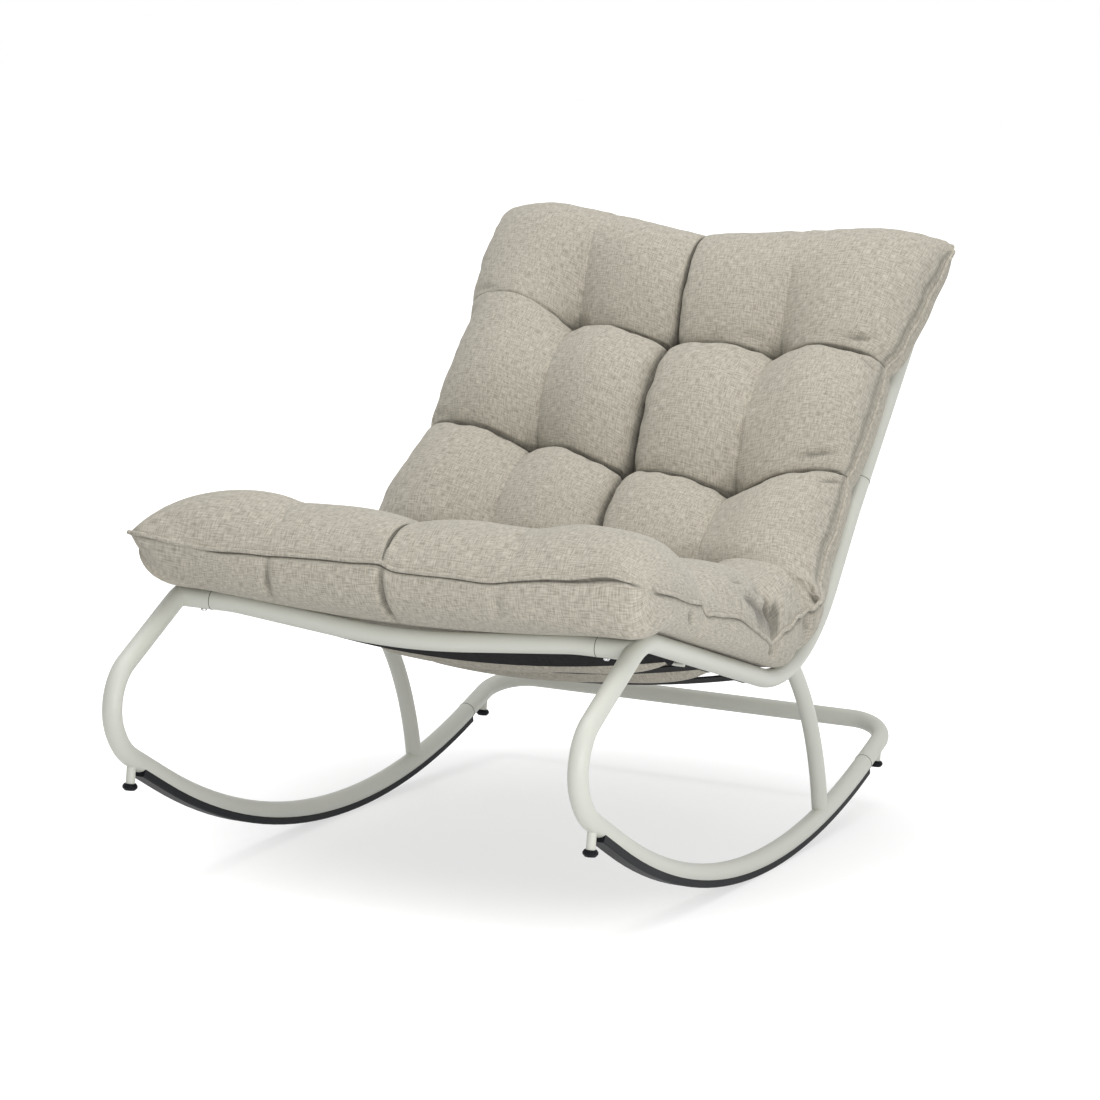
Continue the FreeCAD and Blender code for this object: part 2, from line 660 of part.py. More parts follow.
def make_bumper(end, side, sign):
    """Rubber bumper: a domed head under the post and a stem pushed up its bore."""
    body = new_body(f"bumper_{end}_{side}")
    sketch = sketch_on(body, "profile", "XZ_Plane")
    stem = SIZES["post_bore"] / 2 - 0.1
    head, thick = SIZES["bumper_od"] / 2, SIZES["bumper_thick"]
    top = SIZES[f"{end}_post_drop"] + JOINT_GAP
    outline = [
        (0.0, top - SIZES["bumper_stem"]),
        (stem, top - SIZES["bumper_stem"]),
        (stem, top),
        (0.8 * head, top),
        (head, top + 0.3 * thick),
        (head, top + 0.6 * thick),
        (0.7 * head, top + 0.95 * thick),
        (0.0, top + thick),
    ]
    first = draw_outline(sketch, outline)
    for edge in (1, 4, 7):
        sketch.addConstraint(Sketcher.Constraint("Vertical", first + edge))
    for edge in (0, 2):
        sketch.addConstraint(Sketcher.Constraint("Horizontal", first + edge))
    sketch.addConstraint(Sketcher.Constraint("PointOnObject", first, 1, -2))
    reach = Sketcher.Constraint("DistanceX", -1, 1, first + 4, 1, head)
    bind(sketch, reach, "head_radius", "Dims.bumper_od / 2")
    reach = Sketcher.Constraint("DistanceX", -1, 1, first + 1, 1, stem)
    bind(sketch, reach, "stem_radius", "Dims.post_bore / 2 - 0.1")
    reach = Sketcher.Constraint("DistanceY", -1, 1, first + 2, 1, top)
    bind(sketch, reach, "head_top", f"Dims.{end}_post_drop + {JOINT_GAP}")
    reach = Sketcher.Constraint("DistanceY", first + 1, 1, first + 1, 2, SIZES["bumper_stem"])
    bind(sketch, reach, "stem_length", "Dims.bumper_stem")
    reach = Sketcher.Constraint("DistanceY", first + 2, 1, first + 7, 1, thick)
    bind(sketch, reach, "head_height", "Dims.bumper_thick")
    turned = body.newObject("PartDesign::Revolution", f"{body.Name}_turned")
    turned.Profile = sketch
    turned.ReferenceAxis = (sketch, ["V_Axis"])
    turned.Angle = 360.0
    return put(body, post_frame(end, sign))


def make_screw(name, frame, head_od, head_high, run):
    """Pan-head screw along Z of its frame, head outwards, seated at the frame's origin."""
    body = new_body(name)
    sketch = sketch_on(body, "profile", "XZ_Plane")
    head, shank = SIZES[head_od] / 2, SIZES["screw_shank"] / 2
    high, length = SIZES[head_high], SIZES[run]
    outline = [
        (0.0, -length),
        (shank, -length),
        (shank, JOINT_GAP),
        (head, JOINT_GAP),
        (head, 0.5 * high),
        (0.65 * head, high),
        (0.0, high),
    ]
    first = draw_outline(sketch, outline)
    for edge in (1, 3, 6):
        sketch.addConstraint(Sketcher.Constraint("Vertical", first + edge))
    for edge in (0, 2, 5):
        sketch.addConstraint(Sketcher.Constraint("Horizontal", first + edge))
    sketch.addConstraint(Sketcher.Constraint("PointOnObject", first, 1, -2))
    reach = Sketcher.Constraint("DistanceX", -1, 1, first + 3, 1, head)
    bind(sketch, reach, "head_radius", f"Dims.{head_od} / 2")
    reach = Sketcher.Constraint("DistanceX", -1, 1, first + 1, 1, shank)
    bind(sketch, reach, "shank_radius", "Dims.screw_shank / 2")
    reach = Sketcher.Constraint("DistanceY", -1, 1, first + 5, 1, high)
    bind(sketch, reach, "head_height", f"Dims.{head_high}")
    reach = Sketcher.Constraint("DistanceY", first + 1, 1, -1, 1, length)
    bind(sketch, reach, "shank_length", f"Dims.{run}")
    turned = body.newObject("PartDesign::Revolution", f"{body.Name}_turned")
    turned.Profile = sketch
    turned.ReferenceAxis = (sketch, ["V_Axis"])
    turned.Angle = 360.0
    return put(body, frame)


def screw_frame(base, x, y, outward):
    """Frame of a screw at (x, y) of a bend plane, seated on the tube on its outward side."""
    seat = base.multVec(Vector(x, y, 0) + outward * (SIZES["tube_od"] / 2))
    axis = base.Rotation.multVec(outward)
    side = base.Rotation.multVec(Vector(1, 0, 0))
    return turned_frame(seat, side, axis.cross(side))


def joint_screw(name, frame):
    return make_screw(name, frame, "screw_head_od", "screw_head_high", "screw_run")


def make_joint_screws():
    inset = SIZES["screw_inset"]
    width = 2 * SIZES["half_width"]
    down, inward, outward = Vector(0, -1, 0), Vector(0, 1, 0), Vector(0, -1, 0)
    rail = [
        joint_screw("rail_screw_left", screw_frame(RAIL_PLANE, -inset, 0.0, down)),
        joint_screw("rail_screw_right", screw_frame(RAIL_PLANE, 2 * rail_reach + inset, 0.0, down)),
    ]
    back = [
        joint_screw("back_screw_right", screw_frame(BACK_PLANE, -inset, 0.0, inward)),
        joint_screw("back_screw_left", screw_frame(BACK_PLANE, -inset, width, outward)),
    ]
    under = Vector(0, 0, -1)
    base = [
        joint_screw("base_screw_right", screw_frame(BASE_PLANE, inset, 0.0, under)),
        joint_screw("base_screw_left", screw_frame(BASE_PLANE, inset, width, under)),
    ]
    return [
        grouped("front_rail_screws", rail),
        grouped("back_bow_screws", back),
        grouped("base_bow_screws", base),
    ]


def make_strap(name, frame, sag_name):
    """Elastic strap: a sagging band across the chair with a sewn loop round each staple bar."""
    body = new_body(name)
    loop_in = SIZES["staple_wire"] / 2 + LOOP_GAP
    loop_out = loop_in + SIZES["strap_thick"]
    reach = SIZES["strap_bar"] - (loop_in + loop_out) / 2
    sag, half_thick = SIZES[sag_name], SIZES["strap_thick"] / 2
    low = -SIZES["strap_bar_low"]
    radius = (reach ** 2 + sag ** 2) / (2 * sag)
    half_angle = math.asin(reach / radius)
    centre = Vector(0, low - sag + radius, 0)
    reach_rule = f"(Dims.strap_bar - Dims.staple_wire / 2 - {LOOP_GAP} - Dims.strap_thick / 2)"
    sag_rule = f"Dims.{sag_name}"
    radius_rule = f"(({reach_rule} ^ 2 + {sag_rule} ^ 2) / (2 * {sag_rule}))"
    band = sketch_on(body, "band", "XZ_Plane")
    arcs = []
    for label, offset in (("under", 1), ("over", -1)):
        circle = Part.Circle(centre, Vector(0, 0, 1), radius + offset * half_thick)
        start = 1.5 * math.pi - half_angle
        arc = band.addGeometry(Part.ArcOfCircle(circle, start, start + 2 * half_angle), False)
        rule = f"{radius_rule} + {offset} * Dims.strap_thick / 2"
        bind(band, Sketcher.Constraint("Radius", arc, radius + offset * half_thick), f"{label}_radius", rule)
        bind(
            band,
            Sketcher.Constraint("Angle", arc, 2 * half_angle),
            f"{label}_angle",
            f"2 * asin({reach_rule} / {radius_rule})",
        )
        band.addConstraint(Sketcher.Constraint("Horizontal", arc, 1, arc, 2))
        arcs.append(arc)
    under, over = arcs
    band.addConstraint(Sketcher.Constraint("Coincident", under, 3, over, 3))
    band.addConstraint(Sketcher.Constraint("PointOnObject", under, 3, -2))
    height = Sketcher.Constraint("DistanceY", -1, 1, under, 3, centre.y)
    bind(band, height, "centre_height", f"{radius_rule} - {sag_rule} - Dims.strap_bar_low")
    for end in (1, 2):
        start_point, end_point = band.getPoint(under, end), band.getPoint(over, end)
        edge = band.addGeometry(Part.LineSegment(start_point, end_point), False)
        band.addConstraint(Sketcher.Constraint("Coincident", edge, 1, under, end))
        band.addConstraint(Sketcher.Constraint("Coincident", edge, 2, over, end))
    loops = sketch_on(body, "loops", "XZ_Plane")
    for side, sign in SIDES.items():
        place = (sign * SIZES["strap_bar"], low)
        inner_rule = f"Dims.staple_wire / 2 + {LOOP_GAP}"
        draw_circle(loops, f"{side}_inner", inner_rule, loop_in, *place)
        draw_circle(loops, f"{side}_outer", f"{inner_rule} + Dims.strap_thick", loop_out, *place)
    for label, sketch in (("band", band), ("loops", loops)):
        pad = body.newObject("PartDesign::Pad", f"{body.Name}_{label}_pad")
        pad.Profile = sketch
        pad.SideType = "Symmetric"
        pad.setExpression("Length", "Dims.strap_width")
    return put(body, frame)


def make_staple(name, frame, sign):
    """Wire staple welded to the inside of a tube, whose bar carries one end of a strap."""
    body = new_body(name)
    sweep_tube(body, STAPLE_STEPS, "staple_wire")
    half_bar = SIZES["staple_bar_run"] / 2 + SIZES["staple_radius"]
    reach = SIZES["strap_bar"] + SIZES["staple_radius"] + SIZES["staple_leg"]
    inward = Vector(-sign, 0, 0)
    origin = Vector(sign * reach, -half_bar, -SIZES["strap_bar_low"])
    local = turned_frame(origin, inward, Vector(0, 1, 0))
    return put(body, frame.multiply(local))


def make_straps_and_staples():
    """Three straps under the seat and three behind the back, each between two staples."""
    first, pitch = SIZES["seat_strap_first"], SIZES["seat_strap_pitch"]
    tilt = Placement(Vector(), Rotation(Vector(1, 0, 0), -SIZES["front_strap_tilt"]))
    seat = {
        "seat_strap_front": on_side("seat_run", first).multiply(tilt),
        "seat_strap_middle": on_side("seat_run", first + pitch),
        "seat_strap_rear": on_side("seat_run", first + 2 * pitch),
    }
    back = {
        "back_strap_lower": on_side("upright_run", SIZES["back_strap_first"]),
        "back_strap_middle": on_bow(SIZES["bow_strap_first"]),
        "back_strap_upper": on_bow(SIZES["bow_strap_first"] + SIZES["bow_strap_pitch"]),
    }
    rods = [side_rods["left"], side_rods["right"]]
    pieces = []
    for group, straps, sag_name, tools in (
        ("seat_strap_staples", seat, "seat_sag", rods),
        ("back_strap_staples", back, "back_sag", rods + [back_rod]),
    ):
        staples = []
        for name, frame in straps.items():
            pieces.append(make_strap(name, frame, sag_name))
            for side, sign in SIDES.items():
                staples.append(make_staple(f"{name}_staple_{side}", frame, sign))
        pieces.append(cut_with(group, grouped(f"{group}_blank", staples), tools))
    return pieces


# Cushion sections, from the top edge down the back and along the seat to the front edge. Place is the
# distance from the fold, minus up the back. Heights are above the tubes' centre line: where the cushion
# leaves the side tubes (foot), the middle of its underside (sag), its edge seam, its centre seam, its
# tuft columns and the crowns between them. Dip is how far the middle is drawn down the back.
SECTION_SIZES = ("place", "half", "foot", "sag", "edge", "seam", "column", "crown", "dip")
TOP_END = [
    (-727.0, 347.0, 35.0, 34.0, 38.0, 40.0, 40.0, 43.0, 42.0),
    (-719.0, 347.0, 26.0, 24.0, 41.0, 64.0, 70.0, 76.0, 40.0),
    (-704.0, 346.0, 18.0, 17.0, 44.0, 86.0, 94.0, 101.0, 38.0),
    (-671.0, 344.0, 15.5, 15.0, 47.0, 102.0, 111.0, 119.0, 32.0),
]
TOP_CROWN = (-600.0, 340.0, 15.0, 0.0, 50.0, 97.0, 103.0, 127.0, 19.0)
UPPER_CREASE = (-495.0, 318.0, 14.5, -15.0, 50.0, 46.0, 46.0, 75.0, 0.0)
MIDDLE_CROWN = (-420.0, 322.0, 14.5, -15.0, 53.0, 91.0, 98.0, 130.0, 0.0)
LOWER_CREASE = (-281.0, 316.0, 14.5, -15.0, 49.0, 46.0, 46.0, 74.0, 0.0)
LUMBAR_CROWN = (-183.0, 332.0, 15.5, -12.0, 55.0, 91.0, 98.0, 129.0, 0.0)
LUMBAR_FOOT = [(-121.0, 332.0, 22.0, -8.0, 58.0, 91.0, 97.0, 125.0, 0.0)]
# At the fold the place is the distance from the plane that halves the angle between seat and back.
FOLD = (0.2, 326.0, 63.0, 44.0, 74.0, 88.0, 89.0, 102.0, 0.0)
FOLD_LIP = (16.0, 327.0, 63.0, 42.0, 74.0, 92.0, 94.0, 114.0, 0.0)
REAR_CROWN = (121.0, 335.0, 24.0, -16.0, 44.0, 92.0, 97.0, 124.0, 0.0)
REAR_CREASE = (199.0, 328.0, 15.0, -28.0, 46.0, 50.0, 50.0, 77.0, 0.0)
SEAT_CROWN = (310.0, 340.0, 14.5, -31.0, 61.0, 97.0, 101.0, 125.0, 0.0)
FRONT_CREASE = (460.0, 331.0, 14.5, -28.0, 54.0, 50.0, 50.0, 76.0, 0.0)
FRONT_CROWN = (555.0, 342.0, 15.0, -19.0, 55.0, 98.0, 106.0, 122.0, 0.0)
FRONT_END = [
    (632.0, 344.0, 6.0, -14.0, 53.0, 104.0, 113.0, 118.0, 0.0),
    (662.0, 346.0, 2.0, -8.0, 50.0, 97.0, 103.0, 106.0, 0.0),
    (688.0, 348.0, 14.0, 12.0, 47.0, 76.0, 79.0, 82.0, 0.0),
    (698.0, 349.0, 38.0, 37.0, 45.0, 47.0, 47.0, 50.0, 0.0),
]
# A row swells steeply from its upper crease and slopes gently to the lower one: share of the way from
# the crease to the crown, and how full the row is there.
STEEP_SIDE = [(0.12, 0.42), (0.42, 0.8)]
GENTLE_SIDE = [(0.5, 0.8), (0.85, 0.34)]
# How far in from its edge the cushion reaches its crown, and how far out the dip of its top edge runs.
CROWN_ROLL = 70.0
DIP_HALF = 250.0
# From the fold's corner to where the seat bend ends, and on to the back joint.
BEND_REACH = SIZES["seat_bend_radius"] * math.tan(math.radians(SIZES["seat_bend_turn"]) / 2)
LUMBAR_RUN = SIZES["lumbar_radius"] * math.radians(SIZES["lumbar_turn"])
JOINT_REACH = BEND_REACH + SIZES["upright_run"] + LUMBAR_RUN + SIZES["upright_end_run"]


def cushion_frame(place):
    """Frame across the cushion at a place along it."""
    if place > 0:
        return on_side("seat_run", SIZES["seat_run"] + BEND_REACH - place)
    if -place < JOINT_REACH:
        return on_side("upright_run", -place - BEND_REACH)
    return on_bow(-place - JOINT_REACH)


def fold_frame(offset):
    """Frame beside the fold, in the plane that halves the angle between seat and back."""
    seat = on_side("seat_run", SIZES["seat_run"])
    back = on_side("upright_run", 0.0)
    seat_along = seat.Rotation.multVec(Vector(0, 1, 0))
    back_along = back.Rotation.multVec(Vector(0, 1, 0))
    corner = seat.Base + seat_along * BEND_REACH
    along = seat_along + back_along
    along.normalize()
    return turned_frame(corner + along * offset, Vector(1, 0, 0), along)


def shoulder(crease, crown, way, fullness):
    """Section between a crease and a crown, whose upper side has swollen further than the way there."""
    made = [a + (b - a) * way for a, b in zip(crease, crown)]
    for number, name in enumerate(SECTION_SIZES):
        if name in ("seam", "column", "crown"):
            made[number] = crease[number] + (crown[number] - crease[number]) * fullness
    return tuple(made)


def steep_side(crease, crown):
    return [crease] + [shoulder(crease, crown, way, fullness) for way, fullness in STEEP_SIDE]


def gentle_side(crown, crease):
    return [shoulder(crease, crown, 1 - way, fullness) for way, fullness in GENTLE_SIDE] + [crease]


def upper_outline(size):
    """Upper side from the centre seam to the right edge, as the poles of four curves."""
    pitch = SIZES["tuft_pitch"]
    seam, column, crown, edge = (size[name] for name in ("seam", "column", "crown", "edge"))
    half = size["half"]
    brow = half - CROWN_ROLL
    span = brow - pitch
    lip = column + 0.3 * (crown - column)
    flank = edge + 0.55 * (crown - edge)
    return [
        [(0, seam), (0.04 * pitch, seam + 0.7 * (crown - seam)), (0.25 * pitch, crown), (0.5 * pitch, crown)],
        [(0.5 * pitch, crown), (0.76 * pitch, crown), (0.9 * pitch, lip), (pitch, column)],
        [(pitch, column), (pitch + 0.15 * span, lip), (pitch + 0.4 * span, crown), (brow, crown)],
        [(brow, crown), (brow + 0.55 * CROWN_ROLL, crown), (half, flank), (half, edge)],
    ]


def under_outline(size):
    """Underside from the middle to the right edge: a sag between the side tubes, then a full side."""
    pitch, stand = SIZES["tuft_pitch"], SIZES["cushion_foot"]
    foot, sag, edge, half = (size[name] for name in ("foot", "sag", "edge", "half"))
    rise = (foot - sag) / stand ** 2
    flank = foot + 0.45 * (edge - foot)
    curves = []
    for start, end in ((0.0, 0.5 * pitch), (0.5 * pitch, pitch), (pitch, stand)):
        tangent_height = sag + rise * start * end
        ends = [(x, sag + rise * x ** 2) for x in (start, end)]
        curves.append([ends[0], ((start + end) / 2, tangent_height), ends[1]])
    side = [(stand, foot), (stand + 0.55 * (half - stand), foot), (half, flank), (half, edge)]
    return curves + [side]


def cushion_section(frame, section):
    """Upper and lower edges of one section, each from the left edge to the right."""
    size = dict(zip(SECTION_SIZES, section))

    def curve(poles, sign):
        points = []
        for x, z in poles:
            drawn = size["dip"] * max(0.0, 1 - x / DIP_HALF)
            points.append(frame.multVec(Vector(sign * x, -drawn, z)))
        made = Part.BezierCurve()
        made.setPoles(points if sign > 0 else points[::-1])
        return made.toShape()

    chains = []
    for outline in (upper_outline(size), under_outline(size)):
        left = [curve(poles, -1) for poles in reversed(outline)]
        right = [curve(poles, 1) for poles in outline]
        chains.append(left + right)
    return chains


def section_wire(chains):
    upper, lower = chains
    return Part.Wire(upper + lower[::-1])


def make_cushion(name, rows, fold_side):
    """Half of the folded cushion: rows lofted between sewn creases, closed at the fold and the far end."""
    faces = []
    for row in rows:
        chains = []
        for section in row:
            at_fold = section in (FOLD, FOLD_LIP)
            frame = fold_frame(fold_side * section[0]) if at_fold else cushion_frame(section[0])
            chains.append(cushion_section(frame, section))
            if section is FOLD:
                faces.append(Part.Face(section_wire(chains[-1])))
            elif section in (TOP_END[0], FRONT_END[-1]):
                faces += [Part.makeRuledSurface(*pair) for pair in zip(*chains[-1])]
        faces += Part.makeLoft([section_wire(pair) for pair in chains], False, False).Faces
    cushion = doc.addObject("Part::Feature", name)
    cushion.Shape = Part.Solid(Part.Shell(faces))
    cushion.Label = name
    return put(cushion, Placement())


def make_cushions():
    """Back half and seat half, which meet along the sewn fold."""
    back = [
        TOP_END + [TOP_CROWN] + gentle_side(TOP_CROWN, UPPER_CREASE),
        steep_side(UPPER_CREASE, MIDDLE_CROWN) + [MIDDLE_CROWN] + gentle_side(MIDDLE_CROWN, LOWER_CREASE),
        steep_side(LOWER_CREASE, LUMBAR_CROWN) + [LUMBAR_CROWN] + LUMBAR_FOOT + [FOLD_LIP, FOLD],
    ]
    seat = [
        [FOLD, FOLD_LIP, REAR_CROWN] + gentle_side(REAR_CROWN, REAR_CREASE),
        steep_side(REAR_CREASE, SEAT_CROWN) + [SEAT_CROWN] + gentle_side(SEAT_CROWN, FRONT_CREASE),
        steep_side(FRONT_CREASE, FRONT_CROWN) + [FRONT_CROWN] + FRONT_END,
    ]
    return [make_cushion("seat_cushion", seat, -1.0), make_cushion("back_cushion", back, 1.0)]


for side, sign in SIDES.items():
    keep(make_side_frame(side, sign))
    keep(make_front_socket(side, sign))
    keep(make_strut(side, sign))
    keep(make_strip(side, sign))
    for end in ("front", "rear"):
        keep(make_post(end, side, sign))
        keep(make_bumper(end, side, sign))
keep(make_front_rail())
keep(make_back_bow())
keep(make_base_bow())
for piece in make_joint_screws() + make_straps_and_staples() + make_cushions():
    keep(piece)

doc.recompute()

for item in doc.Objects:
    if "Invalid" in item.State or "Error" in item.State:
        raise RuntimeError(f"{item.Label} failed: {item.State}")
for node in NODES:
    if node.Shape.isNull() or not node.Shape.isValid():
        raise RuntimeError(f"{node.Label} has no valid shape")

os.makedirs("parts", exist_ok=True)
for node in NODES:
    node.Shape.exportStep(f"parts/{node.Label}.step")
    print(f"{node.Label}: {len(node.Shape.Solids)} solid, {node.Shape.Volume:.0f} mm3")
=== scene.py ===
import json
import math

import bmesh
import bpy
from bpy.props import FloatProperty, FloatVectorProperty, IntProperty, PointerProperty
from mathutils import Matrix, Vector, noise


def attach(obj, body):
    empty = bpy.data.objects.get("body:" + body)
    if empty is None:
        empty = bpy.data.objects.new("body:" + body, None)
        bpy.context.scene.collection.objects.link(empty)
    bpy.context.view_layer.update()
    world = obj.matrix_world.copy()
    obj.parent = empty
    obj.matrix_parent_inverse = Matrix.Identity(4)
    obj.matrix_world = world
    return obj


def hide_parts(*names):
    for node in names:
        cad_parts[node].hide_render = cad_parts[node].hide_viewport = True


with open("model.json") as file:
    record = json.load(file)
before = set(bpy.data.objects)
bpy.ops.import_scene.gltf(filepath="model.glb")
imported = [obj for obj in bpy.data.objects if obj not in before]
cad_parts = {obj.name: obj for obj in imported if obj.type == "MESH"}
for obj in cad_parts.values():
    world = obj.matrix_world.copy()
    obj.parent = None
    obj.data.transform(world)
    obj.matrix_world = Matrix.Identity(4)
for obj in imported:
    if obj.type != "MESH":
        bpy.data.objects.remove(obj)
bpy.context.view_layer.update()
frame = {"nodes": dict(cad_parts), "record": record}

bl_info = {
    "name": "Rocking lounge chair",
    "version": (1, 0, 0),
    "blender": (4, 5, 0),
    "location": "View3D > Sidebar > Chair",
    "description": "Finishes a tube-framed rocking chair: paint, rubber, webbing and a tufted cushion",
    "category": "Object",
}

MM = 0.001


def slope(degrees):
    """Direction in the (y, z) plane that rises by an angle towards the rear."""
    return Vector((math.cos(math.radians(degrees)), math.sin(math.radians(degrees))))


# The chair is described level, as it stands under a sitter, then leaned back as it rests when empty.
# Lengths are in metres and turns in degrees.
REST_LEAN = 4.13
TUBE_RADIUS, STRIP_THICK = 0.0125, 0.005
ROCKER_RADIUS, ROCKER_REAR = 1.293, 21.9
ROCKER_LINE = ROCKER_RADIUS - STRIP_THICK - TUBE_RADIUS
TO_REST = (
    Matrix.Translation((0, 0, ROCKER_RADIUS))
    @ Matrix.Rotation(math.radians(-REST_LEAN), 4, "X")
    @ Matrix.Translation((0, 0, -ROCKER_RADIUS))
)

# Side frames of the level chair, as (y, z): where seat and back lines cross, and where the back bow starts.
SIDE_X = 0.308
CORNER = Vector((0.16434, 0.23784))
BACK_JOINT = Vector((0.35676, 0.51357))
JOINT_AT = (BACK_JOINT - CORNER).length
SEAT_SLOPE, BACK_SLOPE, UPPER_SLOPE = -9.95, 55.75, 51.75
SEAT_FORWARD, BACK_UP, UPPER_UP = -slope(SEAT_SLOPE), slope(BACK_SLOPE), slope(UPPER_SLOPE)
# Where the back starts to follow the bow, over what length, and how far from the fold the cushion fans out.
LUMBAR_AT, LUMBAR_RUN = 0.23, 0.11
FAN_REACH = 0.160
# Seam of the front rail: across, along the seat and above the side tubes' centre line, in mm.
RAIL_JOINT = (260, 617.5, -14.8)
# Dark line at a joint: half its thickness, and how far it is flattened along the tube.
JOINT_LINE, JOINT_FLAT = 0.0005, 0.8

# Cushion along its length: negative up the back, positive along the seat, zero at the fold, in mm.
# Half its width on each side, and heights above the side tubes' centre line.
LEFT_EDGE = [
    (-728, 345), (-690, 344), (-619, 341), (-537, 333), (-495, 323), (-400, 323), (-318, 324),
    (-183, 345), (-100, 338), (0, 326), (127, 336), (199, 332), (322, 340), (460, 335), (577, 342),
    (662, 348), (700, 353),
]
RIGHT_EDGE = [
    (-728, 349), (-690, 346), (-619, 340), (-537, 328), (-490, 315), (-400, 319), (-305, 314),
    (-222, 315), (-183, 314), (-120, 323), (-60, 336), (0, 347), (60, 332), (100, 335), (165, 335),
    (199, 334), (322, 341), (470, 335), (577, 341), (662, 343), (700, 339),
]
EDGE_HEIGHT = [
    (-728, 38), (-690, 44), (-612, 50), (-495, 50), (-387, 54), (-290, 50), (-226, 48), (-183, 57),
    (-120, 74), (-60, 91), (-30, 112), (0, 135), (30, 117), (60, 101), (100, 90), (165, 66), (200, 42),
    (245, 46), (290, 51), (366, 60), (440, 54), (458, 51), (478, 63), (510, 60), (548, 58), (662, 57),
    (700, 58),
]
# Width at which a sewn row meets the edge, and the notch it draws there: depth and half length.
EDGE_X = 320
NOTCH_DEPTH, NOTCH_HALF = 4, 13
# Waves of the edge seam: length along and across, height out and up, and how far the fold calms them.
WAVE_LENGTH, WAVE_WIDTH, WAVE_OUT, WAVE_UP, WAVE_CALM = 38, 40, 1.2, 1.5, 120
# Height of the seam along the front edge, by width, and where along the sides it starts to hold.
FRONT_SEAM = [
    (-352, 51), (-245, 42), (-177, 43), (-83, 47), (-6, 49), (18, 42), (131, 42), (232, 56), (294, 65),
    (340, 58),
]
FRONT_FROM, FRONT_RUN = 600, 100
# Underside on the tubes and in the middle, and how it hangs between them.
FOOT_HEIGHT = [
    (-728, 15), (-281, 14.5), (-140, 15), (-127, 16.5), (-100, 21.5), (-80, 27), (-60, 34), (-40, 42),
    (-20, 51), (0, 61.5), (20, 51), (40, 42), (60, 34), (80, 27), (100, 21.5), (127, 16.5), (140, 15),
    (460, 14.5), (577, 15), (605, 12), (640, -2), (670, -8), (700, -4),
]
BELLY_HEIGHT = [
    (-728, 15), (-672, 14.5), (-612, 0), (-495, -15), (-281, -16), (-183, -13), (-121, -8), (0, 44),
    (100, -12), (183, -33), (322, -33), (446, -33), (495, -25.5), (550, -26), (600, -17), (632, -17),
    (665, -8), (700, 0),
]
BELLY_HALF, BELLY_POWER = 300, 2.1
# Where the cloth bellies out between two straps: place, half the gap, depth, reach to the left and right.
STRAP_GAPS = [(253, 45, 19, 110, 252), (396, 49, 22, 110, 252), (550, 54, 14, 110, 185)]
# Share of that depth in the middle, where it starts to grow and over what width, and how it runs out.
GAP_MIDDLE, GAP_FROM, GAP_RUN, GAP_FADE = 0.65, 120, 110, 44
# Top edge: drawn down in the middle, and lifted a little on the right.
TOP_DIP, DIP_HALF, DIP_POWER = 42, 250, 1.1
TOP_LIFT, LIFT_FROM, LIFT_RUN = 6, 180, 120
# Sewn rows: place, then height of a tuft, of the crease between tufts, and of the crease by the left and
# right edge.
CREASES = [
    (-728, None, None, None, None), (-495, 46, 78, 116, 94), (-281, 46, 78, 82, 82), (0, 88, 100, 110, 114),
    (199, 54, 84, 98, 112), (460, 52, 80, 90, 96), (700, None, None, None, None),
]
SEWN = CREASES[1:-1]
SAME_PLACE = 0.1
# Rows that run out into a soft fold towards the left and the right edge.
SOFT_LEFT, SOFT_RIGHT = (1, 4, 5), (4, 5)
# How far each sewn row strays from its place, by width.
STRAYS = {
    1: [(-320, -34), (-155, -14), (0, 8), (155, 4), (320, 2)],
    2: [(-320, -34), (-155, -18), (0, 14), (155, 22), (320, -22)],
    5: [(0, 0), (320, 14)],
}
# Rows between them: height of the crown, of the tuft columns and of the centre seam, and cells.
ROWS = [
    (124, 102, 98, 28), (127, 98, 90, 28), (126, 98, 90, 34), (124, 98, 94, 24), (118, 98, 94, 30),
    (115, 104, 97, 30),
]
# How much the cells crowd towards the stitching.
CROWDING = 0.72
# How much fuller the outermost panels are, by place, and over what width beyond the tufts.
LEFT_FULLER = [(-281, 0), (-120, 4), (460, 3), (560, 10), (700, 8)]
RIGHT_FULLER = [
    (-120, 0), (40, 24), (100, 32), (160, 28), (230, 14), (330, 8), (460, 6), (550, 14), (700, 8),
]
OUTER_RUN = 60
# Where a row crowns between its creases, and how flat on top and how steep at its foot a panel is: below
# its upper crease, above its lower crease and beside the centre seam.
CROWN_AT = 0.42
UPPER_DOME, LOWER_DOME, SEAM_DOME = (2.1, 0.6), (1.8, 0.85), (2.2, 0.52)
# In the rows at the ends: share of the centre seam's depth at the edge, and of the row where columns form.
SEAM_LEAST, COLUMN_REACH = 0.45, 0.85
# How softly panels meet their tuft columns: at the top edge, how far that reaches, and elsewhere.
TOP_SOFT, TOP_SOFT_REACH, ROW_SOFT = 0.85, 0.8, 0.25
# How far in from its seams the cushion reaches full height.
EDGE_ROLL = [(-728, 150), (-600, 125), (-495, 96), (0, 96), (460, 112), (700, 118)]
RIGHT_ROLL = [(-120, 96), (40, 50), (130, 44), (250, 60), (400, 76), (700, 78)]
END_ROLL = 96
# How crisp the seams and the sewn rows stay when the cloth is subdivided.
SEAM_CRISP, ROW_CRISP = 1.0, 0.85
# Groove that the stitching draws into the cloth: depth, half width, and half width of the painted shade in
# it.
STITCH_DEPTH, STITCH_HALF, CREASE_SHADE_HALF = 3.2, 2.6, 1.3
# The groove and its painted shade by a tuft along its column, and how much of a sewn row is lost where it
# runs out into a fold.
COLUMN_SHARE, COLUMN_FADE, SOFT_LOSS = 0.7, 30, 0.8
TUFT_DEPTH, TUFT_HALF = 6.0, 14.0
